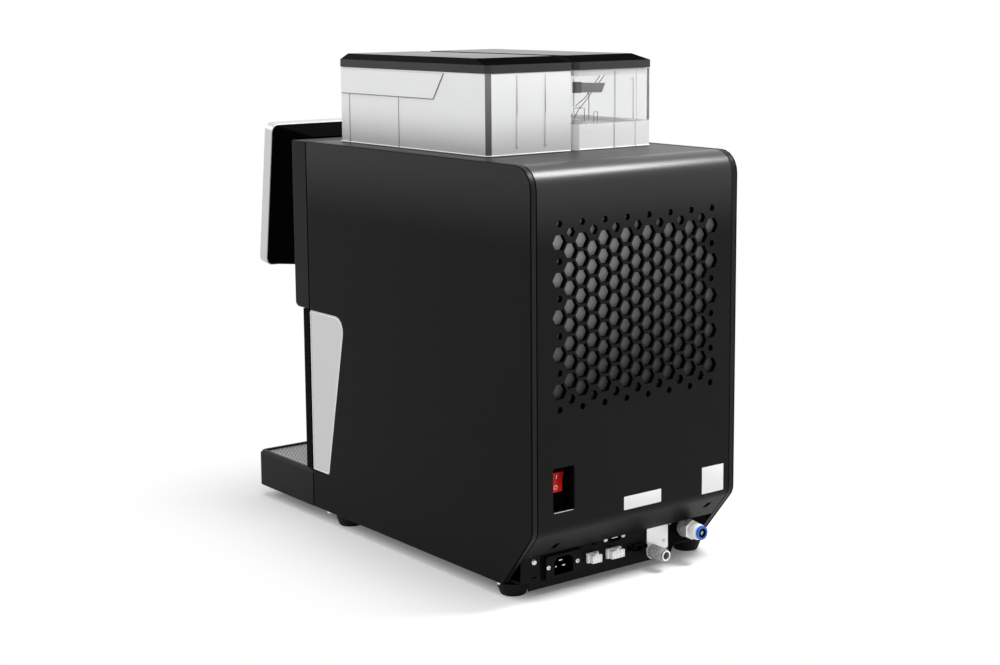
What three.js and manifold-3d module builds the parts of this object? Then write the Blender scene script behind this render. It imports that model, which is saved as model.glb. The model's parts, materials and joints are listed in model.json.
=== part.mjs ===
// Countertop bean-to-cup coffee machine, modelled as it comes apart on a bench.
// Millimetres, +Z up. The machine faces -Y and y = 0 is the seam between front door and cabinet.
import * as THREE from 'three';
import { mergeVertices } from 'three/addons/utils/BufferGeometryUtils.js';
import Module from 'manifold-3d';

const wasm = await Module();
wasm.setup();

// Cabinet
const cabinetWidth = 300;
const cabinetDepth = 445;
const cabinetTop = 477;
const footHeight = 15;
const panelThickness = 8.2;
const topRearRadius = 25;
const chamferTop = 80;
const chamferRun = 53;
const chamferRadius = 20;
const coverSeamDepth = 28;

// Fits and joint lines
const seam = 0.8;
const fit = 0.3;
const runningGap = 0.5;
const overrun = 4;

// Walls
const mouldedWall = 2.5;
const sheet = 2;
const hopperWall = 2.4;
const edgeBreak = 0.8;

// Side trim set into each side panel
const trimTop = 268;
const trimBottom = 62;
const trimTopDepth = 82;
const trimBottomDepth = 38.5;
const trimTopRadius = 18;
const trimBottomRadius = 6;
const trimThickness = 3;
const trimSetBack = 0.6;

// Hexagon vent in the rear cover
const ventPitchX = 15.81;
const ventPitchZ = 20.05;
const ventSideMargin = 28;
const ventTopMargin = 52.5;
const ventLowMargin = 53.4;
const hexLarge = 19;
const hexMedium = 11.5;
const hexSmall = 8;
const ventDepth = 6;
const ventBorder = 6;
const ventBackingThickness = 1.5;

// Mains switch
const switchInset = 44.6;
const switchRise = 45.7;
const switchOpeningWidth = 30;
const switchOpeningHeight = 50;
const switchRecess = 18;
const rockerWidth = 19;
const rockerHeight = 24;
const rockerRaise = 3;
const rockerTilt = THREE.MathUtils.degToRad(7);

// Connector plate under the rear chamfer
const plateSetBack = 30;
const plateBottom = 9;
const plateTop = 60;

// Front fascia behind the cups and the door above it
const fasciaDepth = 15;
const fasciaTop = 267.7;
const doorDepth = 33;
const doorWall = 3;
const hingeInset = 8;
const hingeY = -8;
const hingePinRadius = 2.5;
const hingeKnuckleRadius = 7;

// Screen
const screenInset = 11;
const screenHeight = 186.3;
const screenRimThickness = 17;
const screenRadius = 10;
const screenStandOff = 95.4;
const screenRise = 41.3;
const screenTilt = THREE.MathUtils.degToRad(7.37);
const rimWidth = 6;
const glassThickness = 3;
const shellInset = 13;
const shellTopRise = 2;
const shellLowRise = 48.5;

// Spout
const guideHalfWidth = 22;
const guideDepth = 12;
const guideDrop = 13;
const guideLength = 144;
const spoutHalfWidth = 34;
const spoutDepth = 66.2;
const spoutDrop = 8;
const spoutHeight = 62;
const nozzleSpacing = 36;
const nozzleRadius = 6;
const nozzleBore = 4;
const nozzleLength = 14;

// Drip tray
const trayDepth = 140;
const trayTop = 61;
const trayRadius = 10;
const trayBevel = 3.5;
const trayRim = 8;
const trayFloor = 27;
const trayLedge = 4;
const grilleThickness = 3;
const grilleDrop = 2;
const grilleClearance = 2;

// Grounds bin and the shelf that carries it
const shelfRise = 1.5;
const shelfThickness = 2.2;
const binHalfWidth = 80;
const binDepth = 182;
const binTop = 139;

// Hoppers
const hopperHeight = 91;
const hopperFloorRise = 26;
const hopperSplitX = -3;
const hopperGap = 7.7;
const hopperInset = 32;
const hopperFront = 31.5;
const hopperRearSpace = 114;
const hopperCornerCut = 5;
const hopperCornerRadius = 4;
const beanOutletInset = 48;
const beanOutletY = 100;
const beanNeckRadius = 22;
const neckDrop = 12;
const neckWall = 2.5;
const canisterOutletY = 48;
const augerRadius = 12;
const troughClearance = 1.2;
const augerDrop = 7.5;
const agitatorRadius = 27;
const agitatorY = 175;

// Lids
const lidOverhang = 0.6;
const lidSideHeight = 9;
const lidCrownHeight = 7;
const lidRearSlope = 26;
const lidFrontSlope = 9;
const lidSideSlope = 6;
const lidSkirt = 7;

// Chassis
const baseThickness = 2.5;
const baseRise = 3;
const frontFootInset = 22;
const frontFootSetBack = 52;
const rearFootInset = 20;
const rearFootSetBack = 59;
const deckThickness = 2.5;
const bulkheadY = 203;

// Steps in each rounded corner
const arcSteps = 4;

// Places that follow from the sizes above
const halfWidth = cabinetWidth / 2;
const innerHalf = halfWidth - panelThickness;
const coverHalf = innerHalf - seam;
const deckUnderside = cabinetTop - deckThickness;
const baseZ = footHeight + baseRise;
const baseTop = baseZ + baseThickness;
const plateY = cabinetDepth - plateSetBack;
const baseRearY = plateY - 2 * sheet - fit;
const switchX = halfWidth - switchInset;
const switchZ = chamferTop + switchRise;
const doorBottom = fasciaTop + seam;
const shelfZ = trayTop + shelfRise;
const fasciaBottom = trayTop + 2 * seam + fit + fit / 3;
const hingeX = -halfWidth + hingeInset;
const screenHalfWidth = halfWidth - screenInset;
const screenCentreY = -doorDepth - screenStandOff;
const screenCentreZ = doorBottom + screenRise + screenHeight / 2 * Math.cos(screenTilt);
const shellHalfWidth = screenHalfWidth - shellInset;
const shellTop = cabinetTop + shellTopRise;
const shellBottom = doorBottom + shellLowRise;
const guideTop = shellBottom - guideDrop;
const guideBottom = guideTop - guideLength;
const spoutTop = guideTop - spoutDrop;
const spoutRear = -doorDepth - fit - guideDepth - runningGap;
const spoutFront = spoutRear - spoutDepth;
const hopperTop = cabinetTop + hopperHeight;
const hopperFloorStart = cabinetTop + hopperFloorRise;
const hopperHalfSpan = halfWidth - hopperInset;
const hopperRear = cabinetDepth - hopperRearSpace;
const beanOutletX = hopperHalfSpan - beanOutletInset;
const augerX = (-hopperHalfSpan + hopperSplitX) / 2;
const augerZ = hopperFloorStart - augerDrop;

const machine = new THREE.Group();
machine.name = 'coffee_machine';
const frame = new THREE.Group();
machine.add(frame);

// Finishes
function finish(color, roughness, metalness, opacity = 1) {
  const transparent = opacity < 1;
  return new THREE.MeshStandardMaterial({
    color, roughness, metalness, opacity, transparent, flatShading: true,
  });
}

const blackPaint = finish(0x202124, 0.55, 0.1);
const blackPlastic = finish(0x1b1c1e, 0.5, 0);
const glossBlack = finish(0x0d0e10, 0.12, 0);
const brushedSilver = finish(0xd7d8da, 0.35, 0.8);
const chrome = finish(0xe4e6e8, 0.15, 1);
const steel = finish(0xb9bcc0, 0.35, 0.9);
const greySheet = finish(0x63656a, 0.6, 0.2);
const frosted = finish(0xe6e8ea, 0.45, 0, 0.6);
const clear = finish(0xf2f5f6, 0.1, 0, 0.4);
const whiteNylon = finish(0xefefec, 0.5, 0);
const clearGrey = finish(0xa9acb0, 0.25, 0, 0.7);
const blueCollet = finish(0x1f63c4, 0.4, 0);
const redRocker = finish(0xd51c22, 0.3, 0);
const rubber = finish(0x141414, 0.85, 0);
const zincAlloy = finish(0x8f9499, 0.4, 0.8);
const circuitGreen = finish(0x1d5b3a, 0.6, 0);

// Outlines: a corner is [a, b, radius], listed anticlockwise
function roundedRing(corners) {
  const ring = [];
  corners.forEach(([a, b, radius = 0], index) => {
    const here = new THREE.Vector2(a, b);
    if (radius === 0) {
      ring.push(here);
      return;
    }
    const before = corners[(index + corners.length - 1) % corners.length];
    const after = corners[(index + 1) % corners.length];
    const toBefore = new THREE.Vector2(before[0], before[1]).sub(here).normalize();
    const toAfter = new THREE.Vector2(after[0], after[1]).sub(here).normalize();
    const halfAngle = Math.acos(THREE.MathUtils.clamp(toBefore.dot(toAfter), -1, 1)) / 2;
    const centre = toBefore.clone().add(toAfter).normalize()
      .multiplyScalar(radius / Math.sin(halfAngle)).add(here);
    const reach = radius / Math.tan(halfAngle);
    const start = here.clone().addScaledVector(toBefore, reach).sub(centre);
    const end = here.clone().addScaledVector(toAfter, reach).sub(centre);
    let sweep = end.angle() - start.angle();
    if (sweep > Math.PI) sweep -= 2 * Math.PI;
    if (sweep < -Math.PI) sweep += 2 * Math.PI;
    for (let step = 0; step <= arcSteps; step += 1) {
      ring.push(start.clone().rotateAround(new THREE.Vector2(), sweep * step / arcSteps).add(centre));
    }
  });
  return ring;
}

// Moves each edge of an outline inwards by its own offset; radii follow the larger of the two offsets
function offsetCorners(corners, offsets) {
  const count = corners.length;
  const offsetOf = (edge) => (Array.isArray(offsets) ? offsets[edge] : offsets);
  const line = (edge) => {
    const from = new THREE.Vector2(corners[edge][0], corners[edge][1]);
    const to = new THREE.Vector2(corners[(edge + 1) % count][0], corners[(edge + 1) % count][1]);
    const along = to.sub(from).normalize();
    const inward = new THREE.Vector2(-along.y, along.x);
    return { point: from.addScaledVector(inward, offsetOf(edge)), along };
  };
  return corners.map(([, , radius = 0], index) => {
    const edgeBefore = (index + count - 1) % count;
    const first = line(edgeBefore);
    const second = line(index);
    const gap = second.point.clone().sub(first.point);
    const reach = gap.cross(second.along) / first.along.cross(second.along);
    const corner = first.point.addScaledVector(first.along, reach);
    const change = Math.max(offsetOf(edgeBefore), offsetOf(index));
    return [corner.x, corner.y, radius === 0 ? 0 : Math.max(radius - change, radius / arcSteps / 2)];
  });
}

function rectangle(a0, b0, a1, b1, radius = 0) {
  return [[a0, b0, radius], [a1, b0, radius], [a1, b1, radius], [a0, b1, radius]];
}

// Solids from geometry, ready to be joined and cut
function solid(geometry) {
  const bare = geometry.index ? geometry.clone() : geometry;
  bare.deleteAttribute('normal');
  bare.deleteAttribute('uv');
  const merged = mergeVertices(bare);
  const index = merged.index.array;
  const positions = merged.attributes.position.array;
  const triangles = [];
  let volume = 0;
  const [a, b, c] = [new THREE.Vector3(), new THREE.Vector3(), new THREE.Vector3()];
  for (let i = 0; i < index.length; i += 3) {
    const [p, q, r] = [index[i], index[i + 1], index[i + 2]];
    if (p === q || q === r || r === p) continue;
    triangles.push(p, q, r);
    a.fromArray(positions, p * 3);
    b.fromArray(positions, q * 3);
    c.fromArray(positions, r * 3);
    volume += a.dot(b.cross(c));
  }
  const triVerts = Uint32Array.from(volume < 0 ? triangles.reverse() : triangles);
  const vertProperties = Float32Array.from(positions);
  return new wasm.Manifold(new wasm.Mesh({ numProp: 3, vertProperties, triVerts }));
}

function place(name, shape, material, group = frame) {
  const { vertProperties, triVerts } = shape.getMesh();
  const geometry = new THREE.BufferGeometry();
  geometry.setAttribute('position', new THREE.BufferAttribute(Float32Array.from(vertProperties), 3));
  geometry.setIndex(new THREE.BufferAttribute(Uint32Array.from(triVerts), 1));
  const mesh = new THREE.Mesh(geometry, material);
  mesh.name = name;
  group.add(mesh);
  return mesh;
}

const cutFrom = (body, ...tools) => tools.reduce((rest, tool) => rest.subtract(tool), body);
const joined = (first, ...others) => others.reduce((whole, piece) => whole.add(piece), first);

// Maps an extrusion's own axes (outline a, outline b, length) onto the machine's axes
const alongXAxes = new THREE.Matrix4().set(0, 0, 1, 0, 1, 0, 0, 0, 0, 1, 0, 0, 0, 0, 0, 1);
const alongYAxes = new THREE.Matrix4().set(1, 0, 0, 0, 0, 0, -1, 0, 0, 1, 0, 0, 0, 0, 0, 1);

function extrusion(outlines, length, bevel) {
  const shapes = outlines.map((outline) => new THREE.Shape(outline));
  const options = { depth: length, bevelEnabled: false, curveSegments: arcSteps };
  if (bevel > 0) {
    Object.assign(options, {
      depth: length - 2 * bevel, bevelEnabled: true, bevelSize: bevel, bevelThickness: bevel,
      bevelOffset: -bevel, bevelSegments: 1,
    });
  }
  return new THREE.ExtrudeGeometry(shapes, options).translate(0, 0, bevel);
}

function alongX(corners, xa, xb, bevel = 0) {
  const geometry = extrusion([roundedRing(corners)], Math.abs(xb - xa), bevel);
  return solid(geometry.applyMatrix4(alongXAxes).translate(Math.min(xa, xb), 0, 0));
}

function alongY(corners, ya, yb, bevel = 0) {
  const geometry = extrusion([roundedRing(corners)], Math.abs(yb - ya), bevel);
  return solid(geometry.applyMatrix4(alongYAxes).translate(0, Math.max(ya, yb), 0));
}

function alongZ(corners, za, zb, bevel = 0) {
  const geometry = extrusion([roundedRing(corners)], Math.abs(zb - za), bevel);
  return solid(geometry.translate(0, 0, Math.min(za, zb)));
}

function block(x0, x1, y0, y1, z0, z1) {
  return alongZ(rectangle(Math.min(x0, x1), y0, Math.max(x0, x1), y1), z0, z1);
}

// Skins a stack of rings of equal length, each a list of Vector3
function loft(rings) {
  const count = rings[0].length;
  const positions = rings.flat().flatMap((point) => point.toArray());
  const index = [];
  for (let level = 0; level < rings.length - 1; level += 1) {
    for (let i = 0; i < count; i += 1) {
      const j = (i + 1) % count;
      const [low, lowNext] = [level * count + i, level * count + j];
      index.push(low, lowNext, lowNext + count, low, lowNext + count, low + count);
    }
  }
  const top = (rings.length - 1) * count;
  for (let i = 1; i < count - 1; i += 1) {
    index.push(0, i + 1, i);
    index.push(top, top + i, top + i + 1);
  }
  const geometry = new THREE.BufferGeometry();
  geometry.setAttribute('position', new THREE.Float32BufferAttribute(positions, 3));
  geometry.setIndex(index);
  return solid(geometry);
}

const ringAt = (corners, z) => roundedRing(corners).map(({ x, y }) => new THREE.Vector3(x, y, z));

// Revolves a profile of [radius, distance along the axis]; a fatter piece gets more sides
function revolved(profile) {
  const points = profile.map(([radius, distance]) => new THREE.Vector2(radius, distance));
  const widest = Math.max(...profile.map(([radius]) => radius));
  const sides = 4 * Math.round(2 + Math.sqrt(widest) / 2);
  return new THREE.LatheGeometry(points, sides);
}

const turned = (profile, x, y) => solid(revolved(profile).rotateX(Math.PI / 2).translate(x, y, 0));
const turnedAlongY = (profile, x, z) => solid(revolved(profile).translate(x, 0, z));
const turnedAlongX = (profile, y, z) => solid(revolved(profile).rotateZ(-Math.PI / 2).translate(0, y, z));

const rod = (radius, low, high) => [[0, low], [radius, low], [radius, high], [0, high]];

function hexagon(a, b, acrossCorners, turn = 0) {
  return Array.from({ length: 6 }, (_, i) => {
    const angle = turn + i * Math.PI / 3;
    return [a + acrossCorners / 2 * Math.cos(angle), b + acrossCorners / 2 * Math.sin(angle)];
  });
}

// Side panels and trims
const chamferFootY = cabinetDepth - chamferRun;
const sideCorners = [
  [seam, footHeight], [chamferFootY, footHeight, edgeBreak * 2],
  [cabinetDepth, chamferTop, chamferRadius], [cabinetDepth, cabinetTop, topRearRadius],
  [seam, cabinetTop],
];
const trimCorners = [
  [seam, trimBottom], [trimBottomDepth, trimBottom, trimBottomRadius],
  [trimTopDepth, trimTop, trimTopRadius], [seam, trimTop],
];

function sidePanel(side) {
  const ribThickness = 1.6;
  const ribCount = 4;
  const outer = halfWidth * side;
  const inner = innerHalf * side;
  const skinInner = (halfWidth - mouldedWall) * side;
  const ribOuter = skinInner + side * edgeBreak;
  const ribInner = inner + side * edgeBreak;
  const beyond = side * overrun;
  const shell = alongX(sideCorners, outer, inner, edgeBreak);
  const pocketCorners = offsetCorners(sideCorners, mouldedWall);
  const trimPad = offsetCorners(trimCorners, [-mouldedWall, -mouldedWall, -mouldedWall, overrun]);
  const pocket = cutFrom(
    alongX(pocketCorners, skinInner, inner - beyond),
    alongX(trimPad, outer + beyond, inner - 2 * beyond),
  );
  const trimSeat = alongX(
    offsetCorners(trimCorners, [0, 0, 0, -overrun]),
    outer + beyond,
    outer - side * (trimSetBack + trimThickness + fit),
  );
  const pitch = (cabinetTop - trimTop) / ribCount;
  const ribs = Array.from({ length: ribCount - 1 }, (_, i) => {
    const z = trimTop + (i + 1) * pitch;
    return block(ribOuter, ribInner, mouldedWall, cabinetDepth - edgeBreak, z, z + ribThickness);
  });
  const upright = block(
    ribOuter, ribInner, cabinetDepth / 2, cabinetDepth / 2 + ribThickness,
    footHeight + edgeBreak, cabinetTop - edgeBreak,
  );
  return joined(cutFrom(shell, pocket, trimSeat), ...ribs, upright);
}

function sideTrim(side) {
  const outer = (halfWidth - trimSetBack) * side;
  const corners = offsetCorners(trimCorners, [fit * 2, fit * 2, fit * 2, 0]);
  return alongX(corners, outer, outer - side * trimThickness, edgeBreak);
}

for (const [label, side] of [['right', 1], ['left', -1]]) {
  place(`side_panel_${label}`, sidePanel(side), blackPaint);
  place(`side_trim_${label}`, sideTrim(side), brushedSilver);
}

// Rear cover with the hexagon vent, the switch opening and two slanted slots
const chamferSlope = (chamferTop - footHeight) / chamferRun;
const coverLowY = plateY + overrun;
const coverLowZ = chamferTop - (cabinetDepth - coverLowY) * chamferSlope;
const coverLipY = cabinetDepth - coverSeamDepth;
const coverCorners = [
  [coverLipY - chamferRun, coverLowZ], [coverLowY, coverLowZ], [cabinetDepth, chamferTop, chamferRadius],
  [cabinetDepth, cabinetTop, topRearRadius], [coverLipY, cabinetTop],
];
const ventLow = switchZ + switchOpeningHeight / 2 + ventLowMargin;
const ventHigh = cabinetTop - ventTopMargin;
const ventCentreZ = (ventLow + ventHigh) / 2;
const ventColumns = 2 * Math.floor((coverHalf - ventSideMargin) / ventPitchX) + 1;
const ventRows = 2 * Math.floor((ventHigh - ventLow) / ventPitchZ / 2) + 1;
const ventHalfWidth = (ventColumns - 1) / 2 * ventPitchX + hexLarge / 2 + ventBorder;
const ventHalfHeight = (ventRows - 1) / 2 * ventPitchZ + hexSmall / 2 + ventBorder;
const switchCorners = rectangle(
  switchX - switchOpeningWidth / 2, switchZ - switchOpeningHeight / 2,
  switchX + switchOpeningWidth / 2, switchZ + switchOpeningHeight / 2, mouldedWall,
);

function ventHexagons() {
  const hexagons = [];
  for (let column = 0; column < ventColumns; column += 1) {
    const x = (column - (ventColumns - 1) / 2) * ventPitchX;
    const edgeColumn = column === 0 || column === ventColumns - 1;
    const shifted = column % 2 === 1;
    const rows = shifted ? ventRows - 1 : ventRows;
    for (let row = 0; row < rows; row += 1) {
      const z = ventCentreZ + ((rows - 1) / 2 - row) * ventPitchZ;
      const endRow = row === 0 || row === rows - 1;
      const endSize = shifted ? hexMedium : hexSmall;
      const small = endRow || (edgeColumn && row % 2 === 0);
      hexagons.push(hexagon(x, z, small ? endSize : hexLarge));
    }
  }
  return hexagons;
}

function rearCover() {
  const flangeDepth = 14;
  const slotXShares = [0.731, -0.8475];
  const slotRises = [7, 14];
  const slotLength = 11;
  const slotWidth = 6;
  const slotSlant = 3.5;
  const rear = cabinetDepth + overrun;
  const skin = cutFrom(
    alongX(coverCorners, -coverHalf, coverHalf),
    alongX(
      offsetCorners(coverCorners, [-overrun, mouldedWall, mouldedWall, mouldedWall, -overrun]),
      -coverHalf + mouldedWall, coverHalf - mouldedWall,
    ),
    alongX(
      offsetCorners(coverCorners, [-overrun, flangeDepth, flangeDepth, flangeDepth, -overrun]),
      -coverHalf - overrun, coverHalf + overrun,
    ),
  );
  const ventPad = block(
    -ventHalfWidth, ventHalfWidth, cabinetDepth - ventDepth, cabinetDepth - edgeBreak,
    ventCentreZ - ventHalfHeight, ventCentreZ + ventHalfHeight,
  );
  const hexPrisms = extrusion(
    ventHexagons().map((corners) => roundedRing(corners)), ventDepth + 2 * overrun, 0,
  );
  const vents = solid(hexPrisms.applyMatrix4(alongYAxes).translate(0, rear, 0));
  const slots = slotXShares.map((share, index) => {
    const [left, right] = [share * coverHalf - slotLength / 2, share * coverHalf + slotLength / 2];
    const low = coverLowZ + slotRises[index];
    const high = low + slotWidth;
    return alongY([
      [left + slotSlant, low], [right, low], [right - slotSlant, high], [left, high],
    ], coverLowY - overrun, rear);
  });
  return cutFrom(
    joined(skin, ventPad), vents, alongY(switchCorners, rear, cabinetDepth - 2 * overrun), ...slots,
  );
}

place('rear_cover', rearCover(), blackPaint);
const backingRear = cabinetDepth - ventDepth - fit;
place('vent_backing', alongY(
  rectangle(
    -ventHalfWidth + edgeBreak, ventCentreZ - ventHalfHeight + edgeBreak,
    ventHalfWidth - edgeBreak, ventCentreZ + ventHalfHeight - edgeBreak,
  ),
  backingRear - ventBackingThickness, backingRear,
), greySheet);

// Mains switch: pocket behind the cover, body in its floor, rocker on a cross pin
const pocketMouthY = cabinetDepth - mouldedWall - fit;
const pocketFloorY = cabinetDepth - switchRecess;
const rockerZ = switchZ + rockerHeight / 4;
const switchBodyCorners = rectangle(
  switchX - rockerWidth / 2 - mouldedWall, rockerZ - rockerHeight / 2 - mouldedWall,
  switchX + rockerWidth / 2 + mouldedWall, rockerZ + rockerHeight / 2 + mouldedWall, edgeBreak,
);
const rockerPivotY = pocketFloorY - sheet;

function switchPocket() {
  const corners = offsetCorners(switchCorners, -mouldedWall);
  return cutFrom(
    alongY(corners, pocketMouthY, pocketFloorY - sheet),
    alongY(switchCorners, pocketMouthY + overrun, pocketFloorY),
    alongY(switchBodyCorners, pocketFloorY + overrun, pocketFloorY - 2 * overrun),
  );
}

function switchBody() {
  const bodyDepth = 20;
  const flange = alongY(
    offsetCorners(switchBodyCorners, -mouldedWall / 2), pocketFloorY + fit, pocketFloorY + fit + sheet,
  );
  const body = alongY(
    offsetCorners(switchBodyCorners, fit), pocketFloorY + sheet, pocketFloorY - bodyDepth,
  );
  const rockerWell = alongY(
    rectangle(
      switchX - rockerWidth / 2 - runningGap, rockerZ - rockerHeight / 2 - runningGap,
      switchX + rockerWidth / 2 + runningGap, rockerZ + rockerHeight / 2 + runningGap,
    ),
    pocketFloorY + 2 * overrun, pocketFloorY - rockerHeight / 2,
  );
  return cutFrom(joined(flange, body), rockerWell);
}

// Drawn about its cross pin, then tilted so that its lower end is pressed in
function switchRocker() {
  const arm = rockerHeight / 2 - runningGap;
  const face = 2 * sheet + rockerRaise;
  const dish = rockerRaise / 2;
  const rootShare = 0.45;
  const root = arm * rootShare;
  const corners = [
    [-root, -root], [face - rockerRaise, -arm], [face, -arm], [face - dish, 0],
    [face, arm], [face - rockerRaise, arm], [-root, root],
  ];
  const [cosine, sine] = [Math.cos(rockerTilt), -Math.sin(rockerTilt)];
  const tilted = corners.map(([out, up]) => [
    rockerPivotY + out * cosine - up * sine, rockerZ + out * sine + up * cosine,
  ]);
  return alongX(tilted, switchX - rockerWidth / 2, switchX + rockerWidth / 2);
}

place('switch_pocket', switchPocket(), blackPlastic);
place('switch_body', switchBody(), blackPlastic);
place('switch_rocker', switchRocker(), redRocker);

// Rear connector plate and what is mounted on it
const connectorShares = {
  inlet: 0.5957, sixPin: 0.2943, eightPin: 0.0745, dataPort: 0.0461, serialPort: -0.1787,
  plateEdge: -0.539, water: -0.7092,
};
const across = (name) => connectorShares[name] * coverHalf;
const pinPitch = 4.7;
const inlet = {
  x: across('inlet'), z: 31, width: 27, height: 20, flangeWidth: 50, flangeHeight: 27, depth: 24,
};
const sixPin = { x: across('sixPin'), z: 30.5, columns: 3, rows: 2 };
const eightPin = { x: across('eightPin'), z: 30, columns: 4, rows: 2 };
const dataPort = { x: across('dataPort'), z: 44.4, width: 15, height: 5 };
const serialPort = { x: across('serialPort'), z: 28.5, width: 15, height: 9.4, flangeWidth: 27.4 };
const plateLeftX = across('plateEdge');
const around = (item, width, height, radius = 0) => rectangle(
  item.x - width / 2, item.z - height / 2, item.x + width / 2, item.z + height / 2, radius,
);

function connectorPlate() {
  const notchX = coverHalf - mouldedWall * 4;
  const notchZ = baseZ;
  const outline = [
    [plateLeftX, plateBottom], [notchX, plateBottom],
    [notchX, notchZ], [coverHalf, notchZ], [coverHalf, coverLowZ - fit],
    [coverHalf - mouldedWall - fit, coverLowZ - fit], [coverHalf - mouldedWall - fit, plateTop],
    [plateLeftX, plateTop],
  ];
  const through = [plateY + overrun, plateY - sheet - overrun];
  return cutFrom(
    alongY(outline, plateY, plateY - sheet),
    alongY(around(inlet, inlet.width + 2 * mouldedWall, inlet.height + 2 * mouldedWall), ...through),
    alongY(around(sixPin, sixPin.columns * pinPitch, sixPin.rows * pinPitch), ...through),
    alongY(around(eightPin, eightPin.columns * pinPitch, eightPin.rows * pinPitch), ...through),
    alongY(around(dataPort, dataPort.width, dataPort.height), ...through),
    alongY(around(serialPort, serialPort.width, serialPort.height), ...through),
  );
}

function powerInlet() {
  const flangeThickness = 3;
  const cavityDepth = 17;
  const cornerCut = 5;
  const bladeThickness = 2;
  const bladeWidth = 5.5;
  const bladeSpread = 7;
  const faceY = plateY + fit + flangeThickness;
  const cavity = [
    [inlet.x - inlet.width / 2, inlet.z - inlet.height / 2],
    [inlet.x + inlet.width / 2, inlet.z - inlet.height / 2],
    [inlet.x + inlet.width / 2, inlet.z + inlet.height / 2 - cornerCut],
    [inlet.x + inlet.width / 2 - cornerCut, inlet.z + inlet.height / 2],
    [inlet.x - inlet.width / 2 + cornerCut, inlet.z + inlet.height / 2],
    [inlet.x - inlet.width / 2, inlet.z + inlet.height / 2 - cornerCut],
  ];
  const flange = alongY(
    around(inlet, inlet.flangeWidth, inlet.flangeHeight, flangeThickness), faceY, plateY + fit, edgeBreak,
  );
  const barrel = alongY(offsetCorners(cavity, -mouldedWall + fit), faceY - edgeBreak, plateY - inlet.depth);
  const blades = [[0, 1], [-1, -1], [1, -1]].map(([across, up]) => {
    const x = inlet.x + across * bladeSpread;
    const z = inlet.z + up * inlet.height / 6;
    return block(
      x - bladeWidth / 2, x + bladeWidth / 2, faceY - cavityDepth - edgeBreak, faceY - flangeThickness,
      z - bladeThickness / 2, z + bladeThickness / 2,
    );
  });
  const shell = cutFrom(joined(flange, barrel), alongY(cavity, faceY + overrun, faceY - cavityDepth));
  return joined(shell, ...blades);
}

function pinConnector(item) {
  const reach = 11;
  const wall = 0.8;
  const bore = 1.3;
  const width = item.columns * pinPitch;
  const height = item.rows * pinPitch;
  const latchWidth = pinPitch;
  const frontY = plateY + reach;
  const body = alongY(around(item, width - 2 * fit, height - 2 * fit), frontY, plateY - reach);
  const collar = alongY(around(item, width + 2 * wall, height + 2 * wall), plateY + fit, plateY + reach / 3);
  const latch = block(
    item.x - latchWidth / 2, item.x + latchWidth / 2, plateY + reach / 3 - fit, frontY - wall,
    item.z + height / 2 - wall, item.z + height / 2 + wall * 2,
  );
  const sockets = [];
  for (let column = 0; column < item.columns; column += 1) {
    for (let row = 0; row < item.rows; row += 1) {
      const x = item.x + (column - (item.columns - 1) / 2) * pinPitch;
      const z = item.z + (row - (item.rows - 1) / 2) * pinPitch;
      sockets.push(block(x - bore, x + bore, frontY - reach / 2, frontY + overrun, z - bore, z + bore));
    }
  }
  return cutFrom(joined(body, collar, latch), ...sockets);
}

function dataSocket() {
  const depth = 14;
  const wall = 0.6;
  const flange = 1;
  const shell = alongY(
    around(dataPort, dataPort.width - 2 * fit, dataPort.height - 2 * fit), plateY + flange, plateY - depth,
  );
  const carrier = alongY(
    around(dataPort, dataPort.width + 4 * flange, dataPort.height + 4 * flange),
    plateY - sheet - fit, plateY - depth - flange,
  );
  const mouthWidth = dataPort.width - 2 * fit - 2 * wall;
  const mouthHeight = dataPort.height - 2 * fit - 2 * wall;
  const mouth = alongY(around(dataPort, mouthWidth, mouthHeight), plateY + overrun, plateY - depth);
  const tongue = alongY(
    around(dataPort, mouthWidth - 2 * wall, mouthHeight / 4), plateY - flange, plateY - depth - flange / 2,
  );
  return joined(cutFrom(joined(shell, carrier), mouth), tongue);
}

function serialSocket() {
  const flangeThickness = 1;
  const shellReach = 5;
  const depth = 9;
  const slant = 1.6;
  const dShape = (grow) => offsetCorners([
    [serialPort.x - serialPort.width / 2 + slant, serialPort.z - serialPort.height / 2, slant],
    [serialPort.x + serialPort.width / 2 - slant, serialPort.z - serialPort.height / 2, slant],
    [serialPort.x + serialPort.width / 2, serialPort.z + serialPort.height / 2, slant],
    [serialPort.x - serialPort.width / 2, serialPort.z + serialPort.height / 2, slant],
  ], -grow);
  const flange = alongY(
    around(serialPort, serialPort.flangeWidth, serialPort.height + slant, slant),
    plateY + fit, plateY + fit + flangeThickness,
  );
  const barrel = alongY(dShape(-fit), plateY + fit, plateY - depth);
  const collar = alongY(dShape(-fit), plateY + fit, plateY + shellReach);
  const recess = alongY(
    dShape(-fit - flangeThickness), plateY + shellReach + overrun, plateY - flangeThickness,
  );
  return cutFrom(joined(flange, barrel, collar), recess);
}

place('rear_connector_plate', connectorPlate(), blackPaint);
place('power_inlet', powerInlet(), glossBlack);
place('connector_6pin', pinConnector(sixPin), whiteNylon);
place('connector_8pin', pinConnector(eightPin), whiteNylon);
place('data_port', dataSocket(), steel);
place('serial_port', serialSocket(), blackPlastic);

// Drain outlet on its bright plate
const drainPlate = {
  high: coverLowZ - fit, thickness: 1.5, left: plateLeftX + 2 * sheet - seam,
  right: serialPort.x - serialPort.flangeWidth / 2 - 2 * seam,
};
const drainInset = 9;
const drain = { x: drainPlate.right - drainInset, z: 19.5, radius: 7.2, bore: 4.6, length: 23 };

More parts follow.
